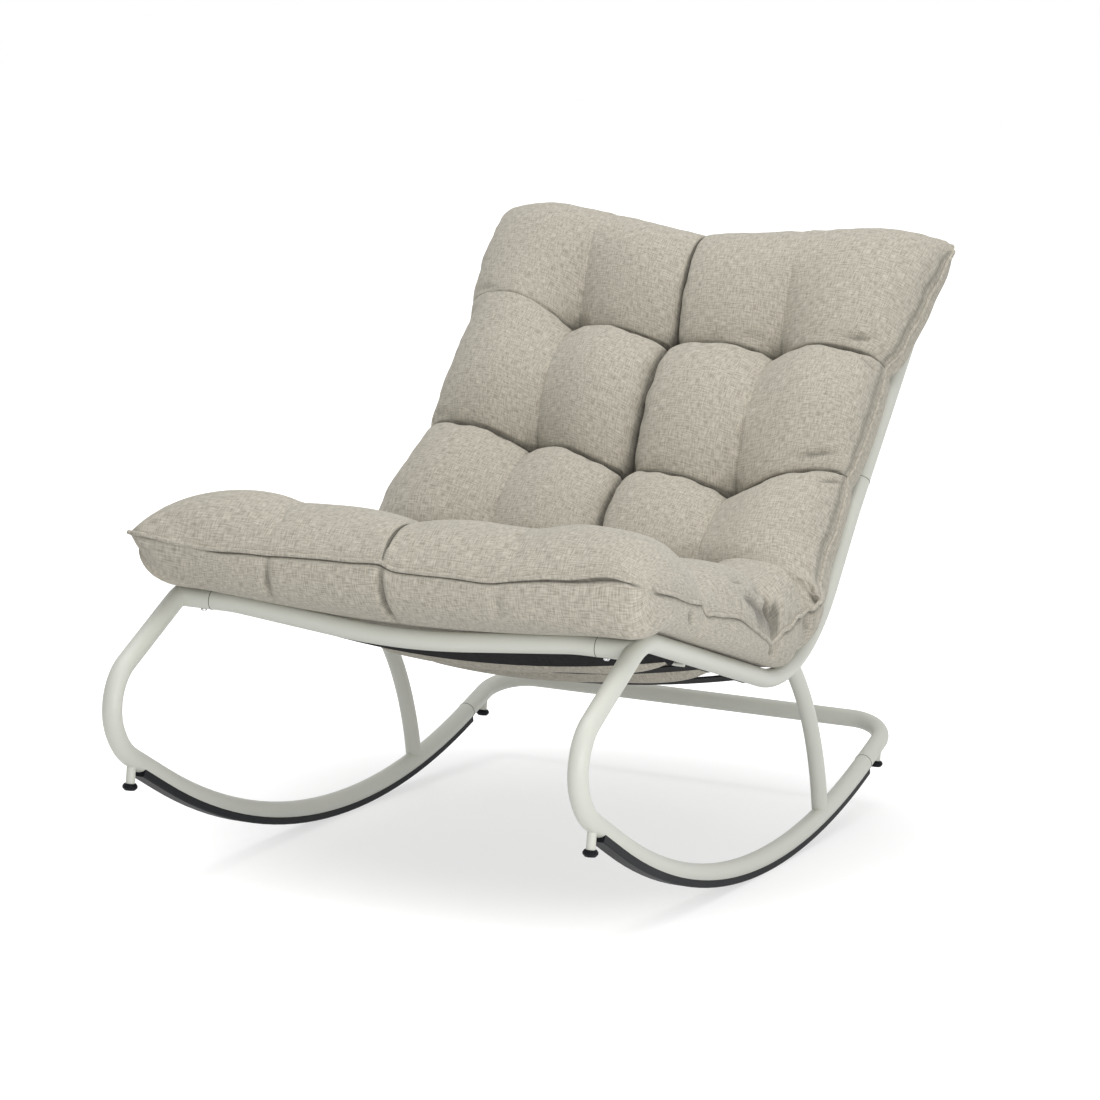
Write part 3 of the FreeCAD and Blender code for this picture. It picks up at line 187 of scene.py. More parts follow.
# Boxing below the seam: cloth it takes, how far in it turns under and how far it bulges out.
SIDE_RUN, SIDE_TUCK, SIDE_BULGE = 40.0, 16.0, 6.0
END_RUN, END_TUCK, END_BULGE = 52.0, 44.0, 6.0
# Over what length the bulge starts by a corner, and the turned cloth runs out into the underside.
BULGE_RUN, TUCK_FADE = 60, 150
# How much further it turns under at the front corners, the length of that and its share on the front, and
# how much further by the fold.
LEFT_TUCK, RIGHT_TUCK, CORNER_RUN, CORNER_END = 70.0, 10.0, 130.0, 0.5
FOLD_TUCK, FOLD_RUN = 26.0, 130.0
# Tuck just below the edge seam, which also carries a painted shade line: height of the boxing, place, half
# width and depth, and how it starts by a corner.
BOXING_HEIGHT, TUCK_BELOW, TUCK_HALF, TUCK_DEPTH = 60.0, 3.4, 2.4, 2.5
TUCK_FROM, TUCK_START = 8, 24
# Roundness of the corners at the top, and at the front on the left and right, and the width it ends at.
TOP_ROUND, LEFT_ROUND, RIGHT_ROUND, CORNER_X = 16.0, 10.0, 44.0, 343.0
# Pulled folds: across, along, turn from the width in degrees, length, width and depth, in mm.
UPPER_FOLDS = [
    (333, 268, 87, 210, 5, 11), (322, 205, 62, 60, 5, 13), (320, 322, 88, 110, 4, 6),
    (316, 234, 81, 120, 4.5, 7), (327, 188, 100, 44, 6, 11), (330, -22, 60, 96, 4.5, 8),
    (331, -42, 66, 96, 4.5, 7), (276, -512, 168, 80, 4.5, 7), (300, -474, 24, 60, 5, 6),
    (270, -300, 172, 90, 4.5, 7), (300, -262, 152, 76, 5, 7), (200, -268, 8, 60, 7, 3),
    (120, -510, 160, 50, 7, 3), (-290, 88, 118, 90, 8, 8), (-314, 60, 104, 66, 7, 7),
    (-300, -62, 60, 80, 8, 6), (-296, -506, 14, 60, 6, 4), (-304, -292, 10, 70, 6, 4),
    (-230, -478, 152, 60, 7, 3), (316, 474, 24, 64, 5, 8), (-300, 468, 150, 60, 7, 4),
    (-304, 210, 28, 60, 7, 4), (24, 652, 74, 44, 7, 4), (150, 655, 58, 50, 9, 3),
]
UNDER_FOLDS = [
    (0, 664, 90, 130, 5, 8), (-155, 672, 84, 90, 5, 6), (155, 676, 96, 60, 7, 3), (326, 520, 70, 60, 6, 6),
    (322, 200, 70, 50, 8, 6), (-322, 476, 124, 60, 9, 5), (-326, 206, 118, 50, 9, 4),
    (330, 40, 80, 60, 8, 5), (-330, 42, 100, 60, 8, 5), (0, -708, 90, 60, 7, 5),
]
# How far the ends of a fold bend aside.
FOLD_BEND = 5
# Painted shade in the folds: share of the full painted shade, depth at which it starts, and depth over
# which it grows.
UPPER_SHADE, UNDER_SHADE = (0.7, 2.5, 7), (0.5, 1.5, 5)
# Painted shade along the edge of the back, a dark line by the welt: share, distance in, half width, and
# where it starts above the fold.
LINE_SHADE, LINE_IN, LINE_HALF, LINE_FROM, LINE_RUN = 0.5, 2.8, 1.3, 40, 60
# Gathers: height, then for each kind its share of it, how far from its stitching it ends, fades and starts,
# and the length of a gather along and across the stitching.
GATHER = 2.0
ROW_GATHERS, ROW_RIPPLE = (1.0, 70, 24, 7), (17, 90)
CENTRE_GATHERS, CENTRE_RIPPLE = (0.6, 50, 16, 6), (15, 60)
EDGE_GATHERS, EDGE_RIPPLE = (0.9, 70, 22, 8), (19, 19)
# Lumps of the stuffing: height and length. Relief starts at these distances from the edge, above and below.
LUMP, LUMP_LENGTH = 2.6, 85
UPPER_MARGIN, UNDER_MARGIN = 10, 4
# Offsets into the noise, so that waves, gathers and lumps don't run alike.
WAVE_OFFSET, SEAM_OFFSET, CENTRE_OFFSET, EDGE_OFFSET, LUMP_OFFSET = (0.4, 0.2), 3.1, 2.7, 5.3, 1.7
# What each point of the cushion remembers of the pattern, and how far aside the underside's cloth lies.
POINT_NOTES = ("across", "along", "half", "side")
UNDER_CLOTH = 2.0
STUFFING_STEPS = 20


def smooth(share):
    share = min(1.0, max(0.0, share))
    return share * share * (3 - 2 * share)


def read_table(table, at):
    """Value at a place along a table, eased between its entries."""
    if at <= table[0][0]:
        return table[0][1]
    for (start, first), (end, last) in zip(table, table[1:]):
        if at <= end:
            return first + (last - first) * smooth((at - start) / (end - start))
    return table[-1][1]


def up_normal(along):
    """Upper side of a line that runs rearwards or upwards in the (y, z) plane."""
    return Vector((-along[1], along[0]))


def chain_frame(at):
    """Origin and upward normal of the level cushion at a place along its length, in metres."""
    seat_normal = up_normal(-SEAT_FORWARD)
    back_normal = up_normal(BACK_UP)
    fold_normal = (seat_normal + back_normal).normalized()
    metres = abs(at) * MM
    if at >= 0:
        origin = CORNER + SEAT_FORWARD * metres
        side_normal = seat_normal
    else:
        bent = smooth((metres - LUMBAR_AT) / LUMBAR_RUN)
        upper = BACK_JOINT + UPPER_UP * (metres - JOINT_AT)
        origin = (CORNER + BACK_UP * metres).lerp(upper, bent)
        side_normal = back_normal.lerp(up_normal(UPPER_UP), bent)
    normal = fold_normal.lerp(side_normal, smooth(metres / FAN_REACH)).normalized()
    return origin, normal


def at_rest(x, at, height):
    """Point of the resting chair from width, place along the cushion and height, all in mm."""
    origin, normal = chain_frame(at)
    place = origin + normal * (height * MM)
    return TO_REST @ Vector((x * MM, place[0], place[1]))


def rounding(distance, reach):
    """How full a stuffed edge is at a distance inside its seam."""
    short = 1 - min(1.0, max(0.0, distance / reach))
    return math.sqrt(max(0.0, 1 - short * short))


def dome(off, flat, steep):
    """Fullness of a panel from its crown, at zero, to its stitching, at one."""
    return (1 - off ** flat) ** steep


def pillow(share):
    """Fullness of a panel between two sewn rows, which swells steeply from the upper one."""
    if share < CROWN_AT:
        return dome(1 - share / CROWN_AT, *UPPER_DOME)
    return dome((share - CROWN_AT) / (1 - CROWN_AT), *LOWER_DOME)


def seamed(share):
    """Fullness of a panel beside the centre seam, which it meets steeply."""
    return dome(abs(2 * share - 1), *SEAM_DOME)


def swell(share, soft):
    """Fullness of a panel between two tuft columns, which it meets more or less softly."""
    return (1 - soft) * (1 - (2 * share - 1) ** 2) + soft * math.sin(math.pi * share) ** 2


def from_end(at):
    """Distance along the cushion to its nearer end."""
    return min(at - CREASES[0][0], CREASES[-1][0] - at)


def to_sewn_row(at):
    """Distance along the cushion to the nearest sewn row."""
    return min(abs(at - crease[0]) for crease in SEWN)


def row_at(at):
    """Which row of panels a place lies in, counted from the top."""
    for row in range(len(ROWS)):
        if at <= CREASES[row + 1][0]:
            return row
    return len(ROWS) - 1


def rounded_corner(x, radius):
    """How far a rounded corner falls short of the straight edge at a width."""
    past = max(0.0, abs(x) - (CORNER_X - radius))
    return radius - math.sqrt(max(0.0, radius ** 2 - past ** 2))


def stray(line, x):
    """How far a sewn row strays from its place, or the top or front edge is drawn in, at a width."""
    if line == 0:
        dipped = TOP_DIP * max(0.0, 1 - abs(x) / DIP_HALF) ** DIP_POWER
        lifted = TOP_LIFT * smooth((x - LIFT_FROM) / LIFT_RUN)
        return dipped + rounded_corner(x, TOP_ROUND) - lifted
    if line == len(ROWS):
        return -rounded_corner(x, RIGHT_ROUND if x > 0 else LEFT_ROUND)
    return read_table(STRAYS[line], x) if line in STRAYS else 0.0


def drawn_place(x, at):
    """True place along the cushion of a point on the straight pattern."""
    row = row_at(at)
    start, end = CREASES[row][0], CREASES[row + 1][0]
    share = (at - start) / (end - start)
    return at + stray(row, x) * (1 - share) + stray(row + 1, x) * share


def half_width(at, side):
    """Width of the edge on one side, notched where a sewn row other than the fold meets it."""
    place = drawn_place(side * EDGE_X, at)
    notch = sum(math.exp(-((at - crease[0]) / NOTCH_HALF) ** 2) for crease in SEWN if crease[0])
    pattern = Vector((at / WAVE_LENGTH, WAVE_OFFSET[0] + side, WAVE_OFFSET[1]))
    wave = noise.noise(pattern) * smooth(abs(at) / WAVE_CALM)
    edge = read_table(RIGHT_EDGE if side > 0 else LEFT_EDGE, place)
    return edge - NOTCH_DEPTH * notch + WAVE_OUT * wave


def seam_height(x, place):
    """Height of the edge seam, which follows its own line along the front."""
    pattern = Vector((place / WAVE_LENGTH, x / WAVE_WIDTH, SEAM_OFFSET))
    wave = noise.noise(pattern) * smooth(abs(place) / WAVE_CALM)
    front = smooth((place - FRONT_FROM) / FRONT_RUN)
    level = read_table(EDGE_HEIGHT, place) * (1 - front) + read_table(FRONT_SEAM, x) * front
    return level + WAVE_UP * wave


def top_height(x, at, half, pitch):
    """Height of the tufted upper side."""
    row = row_at(at)
    start, end = CREASES[row], CREASES[row + 1]
    share = (at - start[0]) / (end[0] - start[0])
    _, tuft, between, by_left, by_right = start if share < CROWN_AT else end
    crest, column, seam = ROWS[row][:3]
    crest += read_table(RIGHT_FULLER if x > 0 else LEFT_FULLER, at) * smooth((abs(x) - pitch) / OUTER_RUN)
    inward = {0: share, len(ROWS) - 1: 1 - share}.get(row, 1.0)
    reach = abs(x)
    outer = reach >= pitch
    if reach < pitch / 2:
        across = seamed(reach / pitch)
        low = crest - (crest - seam) * (SEAM_LEAST + (1 - SEAM_LEAST) * smooth(inward))
    else:
        panels = 1 + (reach - pitch) / (half - pitch) if outer else reach / pitch
        soft = TOP_SOFT * (1 - smooth(inward / TOP_SOFT_REACH)) if row == 0 else ROW_SOFT
        # Past its middle the outer panel stays full, and only the edge rounds it.
        across = 1.0 if panels > 1.5 else swell(panels % 1.0, soft)
        low = crest - (crest - column) * smooth(inward / COLUMN_REACH)
    panel = low + (crest - low) * across
    if tuft is not None:
        if outer:
            between = by_right if x > 0 else by_left
        crease = tuft + (between - tuft) * across
        panel = crease + (panel - crease) * pillow(share)
    roll = read_table(EDGE_ROLL, at)
    if x > 0 and at > RIGHT_ROLL[0][0]:
        roll = min(roll, read_table(RIGHT_ROLL, at))
    full = rounding(half - reach, roll) * rounding(from_end(at), END_ROLL)
    return seam_height(x, drawn_place(x, at)) * (1 - full) + panel * full


def turned(distance, run):
    """Turn of the boxing at a distance below its seam, up to a quarter turn on the underside."""
    return 0.5 * math.pi * min(1.0, max(0.0, distance / run))


def tucked(distance, run, reach):
    """How far in from its seam the boxing lies at a distance below it."""
    if distance < run:
        return reach * (1 - math.cos(turned(distance, run)))
    return distance + (reach - run) * (1 - smooth((distance - run) / TUCK_FADE))


def gap_belly(x, reach, place):
    """How far the cloth hangs down between two straps."""
    total = 0.0
    for gap, half_gap, depth, left, right in STRAP_GAPS:
        full = GAP_MIDDLE + (1 - GAP_MIDDLE) * smooth((reach - GAP_FROM) / GAP_RUN)
        full *= 1 - smooth((reach - (right if x > 0 else left)) / GAP_FADE)
        total += depth * full * (1 - smooth(abs(place - gap) / half_gap))
    return total


def under_place(x, at, half):
    """Width, place and height of the underside, which bellies between the tubes and between the straps."""
    to_side, to_end = half - abs(x), from_end(at)
    corner = 0.0 if at < 0 else RIGHT_TUCK if x > 0 else LEFT_TUCK
    by_fold = 1 - smooth(abs(at) / FOLD_RUN)
    side_tuck = SIDE_TUCK + corner * (1 - smooth(to_end / CORNER_RUN)) + FOLD_TUCK * by_fold
    end_tuck = END_TUCK + CORNER_END * corner * (1 - smooth(to_side / CORNER_RUN))
    side_turn, end_turn = turned(to_side, SIDE_RUN), turned(to_end, END_RUN)
    side_bulge = SIDE_BULGE * math.sin(2 * side_turn) * smooth(to_end / BULGE_RUN) * (1 - by_fold)
    end_bulge = END_BULGE * math.sin(2 * end_turn) * smooth(to_side / BULGE_RUN)
    reach = half - tucked(to_side, SIDE_RUN, side_tuck) + side_bulge
    shift = to_end - tucked(to_end, END_RUN, end_tuck) + end_bulge
    edge_place = drawn_place(x, at)
    place = edge_place + math.copysign(shift, at)
    foot, belly = read_table(FOOT_HEIGHT, place), read_table(BELLY_HEIGHT, place)
    low = belly + (foot - belly) * min(1.0, max(0.0, reach) / BELLY_HALF) ** BELLY_POWER
    low -= gap_belly(x, reach, place)
    full = math.sin(side_turn) * math.sin(end_turn)
    return math.copysign(reach, x), place, seam_height(x, edge_place) * (1 - full) + low * full


def fold_relief(folds, x, at):
    """How deep the pulled folds press the cloth at a place."""
    depth = 0.0
    for fold_x, fold_at, turn, length, width, press in folds:
        aside, ahead = x - fold_x, at - fold_at
        if abs(aside) + abs(ahead) > length:
            continue
        cosine, sine = math.cos(math.radians(turn)), math.sin(math.radians(turn))
        along, off = aside * cosine + ahead * sine, ahead * cosine - aside * sine
        bend = FOLD_BEND * (2 * along / length) ** 2
        depth += press * (1 - smooth(2 * abs(along) / length)) * math.exp(-((off - bend) / width) ** 2)
    return depth


def gather(off, sizes, pattern):
    """Height of one kind of gather at a distance from its stitching."""
    share, reach, fade, start = sizes
    if off >= reach:
        return 0.0
    return share * noise.noise(Vector(pattern)) * math.exp(-off / fade) * smooth(off / start)


def gathers(x, at, half):
    """Small gathers that run into the sewn rows, the centre seam and the edge."""
    along, across = ROW_RIPPLE
    total = sum(gather(abs(at - row[0]), ROW_GATHERS, (x / along, row[0], at / across)) for row in SEWN)
    along, across = CENTRE_RIPPLE
    total += gather(abs(x), CENTRE_GATHERS, (CENTRE_OFFSET, at / along, x / across))
    along, across = EDGE_RIPPLE
    to_edge = min(half - abs(x), from_end(at))
    return total + gather(to_edge, EDGE_GATHERS, ((x + at) / along, EDGE_OFFSET, (x - at) / across))


def soft_crease(line, x):
    """Whether a sewn row runs out into a soft fold towards the edge on this side."""
    return line in (SOFT_LEFT if x < 0 else SOFT_RIGHT)


def stitching(x, at, pitch, width):
    """How close a place is to the centre seam, a sewn row or the column by a tuft: one on the thread. It
    shapes the groove there and the painted shade in it.
    """
    off, line = min((abs(at - crease[0]), line) for line, crease in enumerate(SEWN, 1))
    outer = smooth((abs(x) - pitch) / OUTER_RUN) if soft_crease(line, x) else 0.0
    centre = math.exp(-(x / width) ** 2)
    row = (1 - SOFT_LOSS * outer) * math.exp(-(off / width) ** 2)
    column = COLUMN_SHARE * math.exp(-((abs(x) - pitch) / width) ** 2 - off / COLUMN_FADE)
    return max(centre, row, column)


def tuft_dimple(x, at, pitch):
    """How deep the tufts pull the cloth in."""
    off = to_sewn_row(at)
    aside = min(abs(x), abs(abs(x) - pitch))
    return TUFT_DEPTH * math.exp(-(off * off + aside * aside) / TUFT_HALF ** 2)


def edge_shade(x, at, half):
    """How close a place is to the tuck just below the edge seam, which runs out at the corners. It sets the
    tuck's depth and the painted shade in it.
    """
    to_side, to_end = half - abs(x), from_end(at)
    down = BOXING_HEIGHT * math.sin(turned(to_side, SIDE_RUN)) * math.sin(turned(to_end, END_RUN))
    clear = smooth((max(to_side, to_end) - TUCK_FROM) / TUCK_START)
    return math.exp(-((down - TUCK_BELOW) / TUCK_HALF) ** 2) * clear


def fold_shade(folds, x, at, shading):
    """How dark the painted shade lies in the cloth's pulled folds."""
    share, start, run = shading
    return share * smooth((fold_relief(folds, x, at) - start) / run)


def upper_shade(x, at, half, pitch):
    """Painted shade on the upper side: how dark it lies in its stitching, in its folds and along the edge
    of the back.
    """
    off = (half - abs(x) - LINE_IN) / LINE_HALF
    edge = LINE_SHADE * math.exp(-off ** 2) * smooth((-at - LINE_FROM) / LINE_RUN)
    return max(stitching(x, at, pitch, CREASE_SHADE_HALF), fold_shade(UPPER_FOLDS, x, at, UPPER_SHADE), edge)


def under_shade(x, at, half):
    """Painted shade on the boxing and the underside: how dark they lie in their folds and below the edge
    seam.
    """
    return max(edge_shade(x, at, half), fold_shade(UNDER_FOLDS, x, at, UNDER_SHADE))


def upper_relief(x, at, half, pitch):
    """How far the upper side stands out by its gathers and lumps, less what is pressed or sewn in."""
    inside = smooth(min(half - abs(x), from_end(at)) / UPPER_MARGIN)
    lump = LUMP * noise.noise(Vector((x / LUMP_LENGTH, at / LUMP_LENGTH, LUMP_OFFSET)))
    sewn = STITCH_DEPTH * stitching(x, at, pitch, STITCH_HALF)
    pressed = fold_relief(UPPER_FOLDS, x, at) + sewn + tuft_dimple(x, at, pitch)
    return GATHER * gathers(x, at, half) + inside * (lump - pressed)


def under_relief(x, at, half):
    """How far the boxing and the underside are pressed in, as a negative height."""
    inside = smooth(min(half - abs(x), from_end(at)) / UNDER_MARGIN)
    return -inside * fold_relief(UNDER_FOLDS, x, at) - TUCK_DEPTH * edge_shade(x, at, half)


def crowded(share):
    """Share of a panel's length at a share of its cells, which crowd towards the stitching."""
    return share - CROWDING * math.sin(2 * math.pi * share) / (2 * math.pi)


def length_stations():
    """Places along the cushion, with a line of points on every sewn row."""
    stations = [CREASES[0][0]]
    for row, sizes in enumerate(ROWS):
        start, end, cells = CREASES[row][0], CREASES[row + 1][0], sizes[3]
        stations += [start + (end - start) * crowded((cell + 1) / cells) for cell in range(cells)]
    return stations


def deselect():
    bpy.ops.object.select_all(action="DESELECT")


def link(name, data):
    piece = bpy.data.objects.new(name, data)
    bpy.context.scene.collection.objects.link(piece)
    return piece


def activate(piece):
    deselect()
    piece.select_set(True)
    bpy.context.view_layer.objects.active = piece


def apply_modifier(piece, kind, **settings):
    modifier = piece.modifiers.new(kind.title(), kind)
    for key, value in settings.items():
        setattr(modifier, key, value)
    activate(piece)
    bpy.ops.object.modifier_apply(modifier=modifier.name)


def node(tree, kind, place, **values):
    made = tree.nodes.new(kind)
    made.location = place
    for key, value in values.items():
        setattr(made, key, value)
    return made


def math_node(tree, operation, place, first, second):
    made = node(tree, "ShaderNodeMath", place, operation=operation)
    for socket, value in zip(made.inputs, (first, second)):
        if isinstance(value, (int, float)):
            socket.default_value = value
        else:
            tree.links.new(value, socket)
    return made.outputs[0]


def stretched_noise(tree, vector, scale, place, detail=2.0):
    mapping = node(tree, "ShaderNodeMapping", place)
    mapping.inputs["Scale"].default_value = scale
    tree.links.new(vector, mapping.inputs["Vector"])
    grain = node(tree, "ShaderNodeTexNoise", (place[0] + 200, place[1]))
    grain.inputs["Scale"].default_value = 1.0
    grain.inputs["Detail"].default_value = detail
    tree.links.new(mapping.outputs["Vector"], grain.inputs["Vector"])
    return grain.outputs["Fac"]


def new_group(name, inputs, outputs):
    group = bpy.data.node_groups.new(name, "ShaderNodeTree")
    for label, kind, default in inputs:
        socket = group.interface.new_socket(label, in_out="INPUT", socket_type=kind)
        if default is not None:
            socket.default_value = default
    for label, kind in outputs:
        group.interface.new_socket(label, in_out="OUTPUT", socket_type=kind)
    return group, node(group, "NodeGroupInput", (-900, 0)), node(group, "NodeGroupOutput", (900, 0))


# Weave: scale of the warp, the weft, the flecks and the patches on the cloth, per metre.
WARP, WEFT, FLECK, PATCH = (640, 90, 1), (90, 640, 1), (600, 600, 1), (6, 6, 1)
THREAD_DETAIL = 0.2
# Their shares of the shade, then its middle and its contrast.
THREAD_SHARE, FLECK_SHARE, PATCH_SHARE = 0.46, 0.10, 0.03
SHADE_MIDDLE, SHADE_CONTRAST = 0.525, 2.6
# Sprayed coat: scale of its clouds, least roughness and how far it spreads, and height of the orange peel.
CLOUD = (9, 9, 9)
GLOSS_LEAST, GLOSS_SPREAD = 0.36, 0.16
PEEL_HEIGHT = 0.0004


def melange_group():
    """Slubbed warp and weft threads: a shade between two yarns, and a thread relief."""
    name = "Melange weave"
    if name in bpy.data.node_groups:
        return bpy.data.node_groups[name]
    inputs = [("Vector", "NodeSocketVector", None), ("Slub", "NodeSocketFloat", 1.0)]
    outputs = [("Shade", "NodeSocketFloat"), ("Relief", "NodeSocketFloat")]
    group, source, result = new_group(name, inputs, outputs)
    vector = source.outputs["Vector"]
    warp = stretched_noise(group, vector, WARP, (-650, 300), THREAD_DETAIL)
    weft = stretched_noise(group, vector, WEFT, (-650, 0), THREAD_DETAIL)
    fleck = stretched_noise(group, vector, FLECK, (-650, -300))
    patch = stretched_noise(group, vector, PATCH, (-650, -600))
    threads = math_node(group, "ADD", (-150, 200), warp, weft)
    threads = math_node(group, "MULTIPLY", (0, 200), threads, THREAD_SHARE)
    flecks = math_node(group, "MULTIPLY", (0, -200), fleck, FLECK_SHARE)
    patches = math_node(group, "MULTIPLY", (0, -400), patch, PATCH_SHARE)
    shade = math_node(group, "ADD", (150, 100), threads, flecks)
    shade = math_node(group, "ADD", (300, 100), shade, patches)
    centred = math_node(group, "SUBTRACT", (450, 100), shade, SHADE_MIDDLE)
    stronger = math_node(group, "MULTIPLY", (600, 100), centred, SHADE_CONTRAST)
    slubbed = math_node(group, "MULTIPLY", (700, 100), stronger, source.outputs["Slub"])
    final = math_node(group, "ADD", (780, 100), slubbed, 0.5)
    group.links.new(final, result.inputs["Shade"])
    relief = math_node(group, "ADD", (300, -150), threads, flecks)
    group.links.new(relief, result.inputs["Relief"])
    return group


def coat_group():
    """Fine orange-peel of a sprayed or moulded surface, with a faint cloud of shade."""
    name = "Sprayed coat"
    if name in bpy.data.node_groups:
        return bpy.data.node_groups[name]
    inputs = [("Vector", "NodeSocketVector", None), ("Grain", "NodeSocketFloat", 700.0)]
    outputs = [("Cloud", "NodeSocketFloat"), ("Relief", "NodeSocketFloat"), ("Gloss", "NodeSocketFloat")]
    group, source, result = new_group(name, inputs, outputs)
    peel = node(group, "ShaderNodeTexNoise", (-300, 200))
    peel.inputs["Detail"].default_value = 3.0
    group.links.new(source.outputs["Vector"], peel.inputs["Vector"])
    group.links.new(source.outputs["Grain"], peel.inputs["Scale"])
    cloud = stretched_noise(group, source.outputs["Vector"], CLOUD, (-650, -200), 4.0)
    group.links.new(cloud, result.inputs["Cloud"])
    group.links.new(peel.outputs["Fac"], result.inputs["Relief"])
    spread = math_node(group, "MULTIPLY", (200, -300), cloud, GLOSS_SPREAD)
    gloss = math_node(group, "ADD", (350, -300), spread, GLOSS_LEAST)
    group.links.new(gloss, result.inputs["Gloss"])
    return group


def new_material(name):
    material = bpy.data.materials.new(name)
    material.use_nodes = True
    tree = material.node_tree
    return material, tree, tree.nodes["Principled BSDF"]


def two_shades(tree, factor, dark, light, place):
    mix = node(tree, "ShaderNodeMix", place, data_type="RGBA", clamp_factor=True)
    ends = {"A": dark, "B": light}
    for socket in mix.inputs:
        if socket.type == "RGBA":
            socket.default_value = (*ends[socket.name], 1)
    tree.links.new(factor, mix.inputs["Factor"])
    return next(socket for socket in mix.outputs if socket.type == "RGBA")


def raise_relief(tree, shader, height, strength, distance, place):
    bump = node(tree, "ShaderNodeBump", place)
    bump.inputs["Strength"].default_value = strength
    bump.inputs["Distance"].default_value = distance
    tree.links.new(height, bump.inputs["Height"])
    tree.links.new(bump.outputs["Normal"], shader.inputs["Normal"])


def coated_material(name, colour, spread, grain, strength, gloss_shift):
    """Painted or moulded surface from the sprayed-coat group."""
    material, tree, shader = new_material(name)
    coords = node(tree, "ShaderNodeTexCoord", (-900, 0))
    coat = node(tree, "ShaderNodeGroup", (-650, 0), node_tree=coat_group())
    coat.inputs["Grain"].default_value = grain
    tree.links.new(coords.outputs["Object"], coat.inputs["Vector"])
    dark = [channel * (1 - spread) for channel in colour]
    light = [min(1.0, channel * (1 + spread)) for channel in colour]
    clouded = two_shades(tree, coat.outputs["Cloud"], dark, light, (-350, 200))
    tree.links.new(clouded, shader.inputs["Base Color"])
    gloss = math_node(tree, "ADD", (-350, -50), coat.outputs["Gloss"], gloss_shift)
    tree.links.new(gloss, shader.inputs["Roughness"])
    raise_relief(tree, shader, coat.outputs["Relief"], strength, PEEL_HEIGHT, (-350, -250))
    return material


def fabric_material(finish):
    """Linen weave in two yarns, with painted shade from the cushion's stitching attribute darkening its
    creases, folds and tucks.
    """
    material, tree, shader = new_material("Greige linen weave")
    coords = node(tree, "ShaderNodeTexCoord", (-900, 0))
    weave = node(tree, "ShaderNodeGroup", (-650, 0), node_tree=melange_group())
    tree.links.new(coords.outputs["UV"], weave.inputs["Vector"])
    colour = two_shades(tree, weave.outputs["Shade"], finish.fabric_dark, finish.fabric_light, (-350, 200))
    # Painted shade: the stitching attribute darkens the colour where creases, folds and tucks lie in
    # shadow.
    sewn = node(tree, "ShaderNodeAttribute", (-650, 400), attribute_name="stitching")
    lit = math_node(tree, "MULTIPLY", (-450, 400), sewn.outputs["Fac"], -finish.painted_shade)
    lit = math_node(tree, "ADD", (-300, 400), lit, 1.0)
    shaded = node(tree, "ShaderNodeVectorMath", (-150, 300), operation="SCALE")
    tree.links.new(colour, shaded.inputs[0])
    tree.links.new(lit, shaded.inputs["Scale"])
    tree.links.new(shaded.outputs["Vector"], shader.inputs["Base Color"])
    shader.inputs["Roughness"].default_value = 0.92
    shader.inputs["Sheen Weight"].default_value = 0.12
    shader.inputs["Specular IOR Level"].default_value = 0.2
    raise_relief(tree, shader, weave.outputs["Relief"], strength=0.28, distance=0.0010, place=(-350, -250))
    return material


def webbing_material(finish):
    """Black elastic webbing in the same weave, with a deeper relief."""
    material, tree, shader = new_material("Elastic webbing")
    coords = node(tree, "ShaderNodeTexCoord", (-900, 0))
    weave = node(tree, "ShaderNodeGroup", (-650, 0), node_tree=melange_group())
    tree.links.new(coords.outputs["Object"], weave.inputs["Vector"])
    dark = [channel * 0.6 for channel in finish.webbing]
    light = [channel * 1.5 for channel in finish.webbing]
    woven = two_shades(tree, weave.outputs["Shade"], dark, light, (-350, 200))
    tree.links.new(woven, shader.inputs["Base Color"])
    shader.inputs["Roughness"].default_value = 0.8
    shader.inputs["Specular IOR Level"].default_value = 0.12
    raise_relief(tree, shader, weave.outputs["Relief"], strength=0.6, distance=0.0008, place=(-350, -250))
    return material


def paint_material(finish):
    return coated_material(
        "Sage powder coat", finish.paint, spread=0.025, grain=900.0, strength=0.10, gloss_shift=0.0)


def rubber_material(finish):
    material = coated_material(
        "Black rubber", finish.rubber, spread=0.30, grain=420.0, strength=0.25, gloss_shift=0.04)
    material.node_tree.nodes["Principled BSDF"].inputs["Specular IOR Level"].default_value = 0.08
    return material


def steel_material(finish):
    material = coated_material(
        "Bright screw steel", finish.steel, spread=0.06, grain=300.0, strength=0.05, gloss_shift=-0.18)
    material.node_tree.nodes["Principled BSDF"].inputs["Metallic"].default_value = 1.0
    return material


def joint_material(finish):
    return coated_material(
        "Joint line", finish.seam, spread=0.3, grain=500.0, strength=0.1, gloss_shift=0.2)


def dress(material, *slots):
    """Give a material to every CAD node that the record lists under these slots."""
    for part in frame["record"]["subparts"]:
        if part["material_slot"] in slots:
            mesh = frame["nodes"][part["node"]].data
            mesh.materials.clear()
            mesh.materials.append(material)


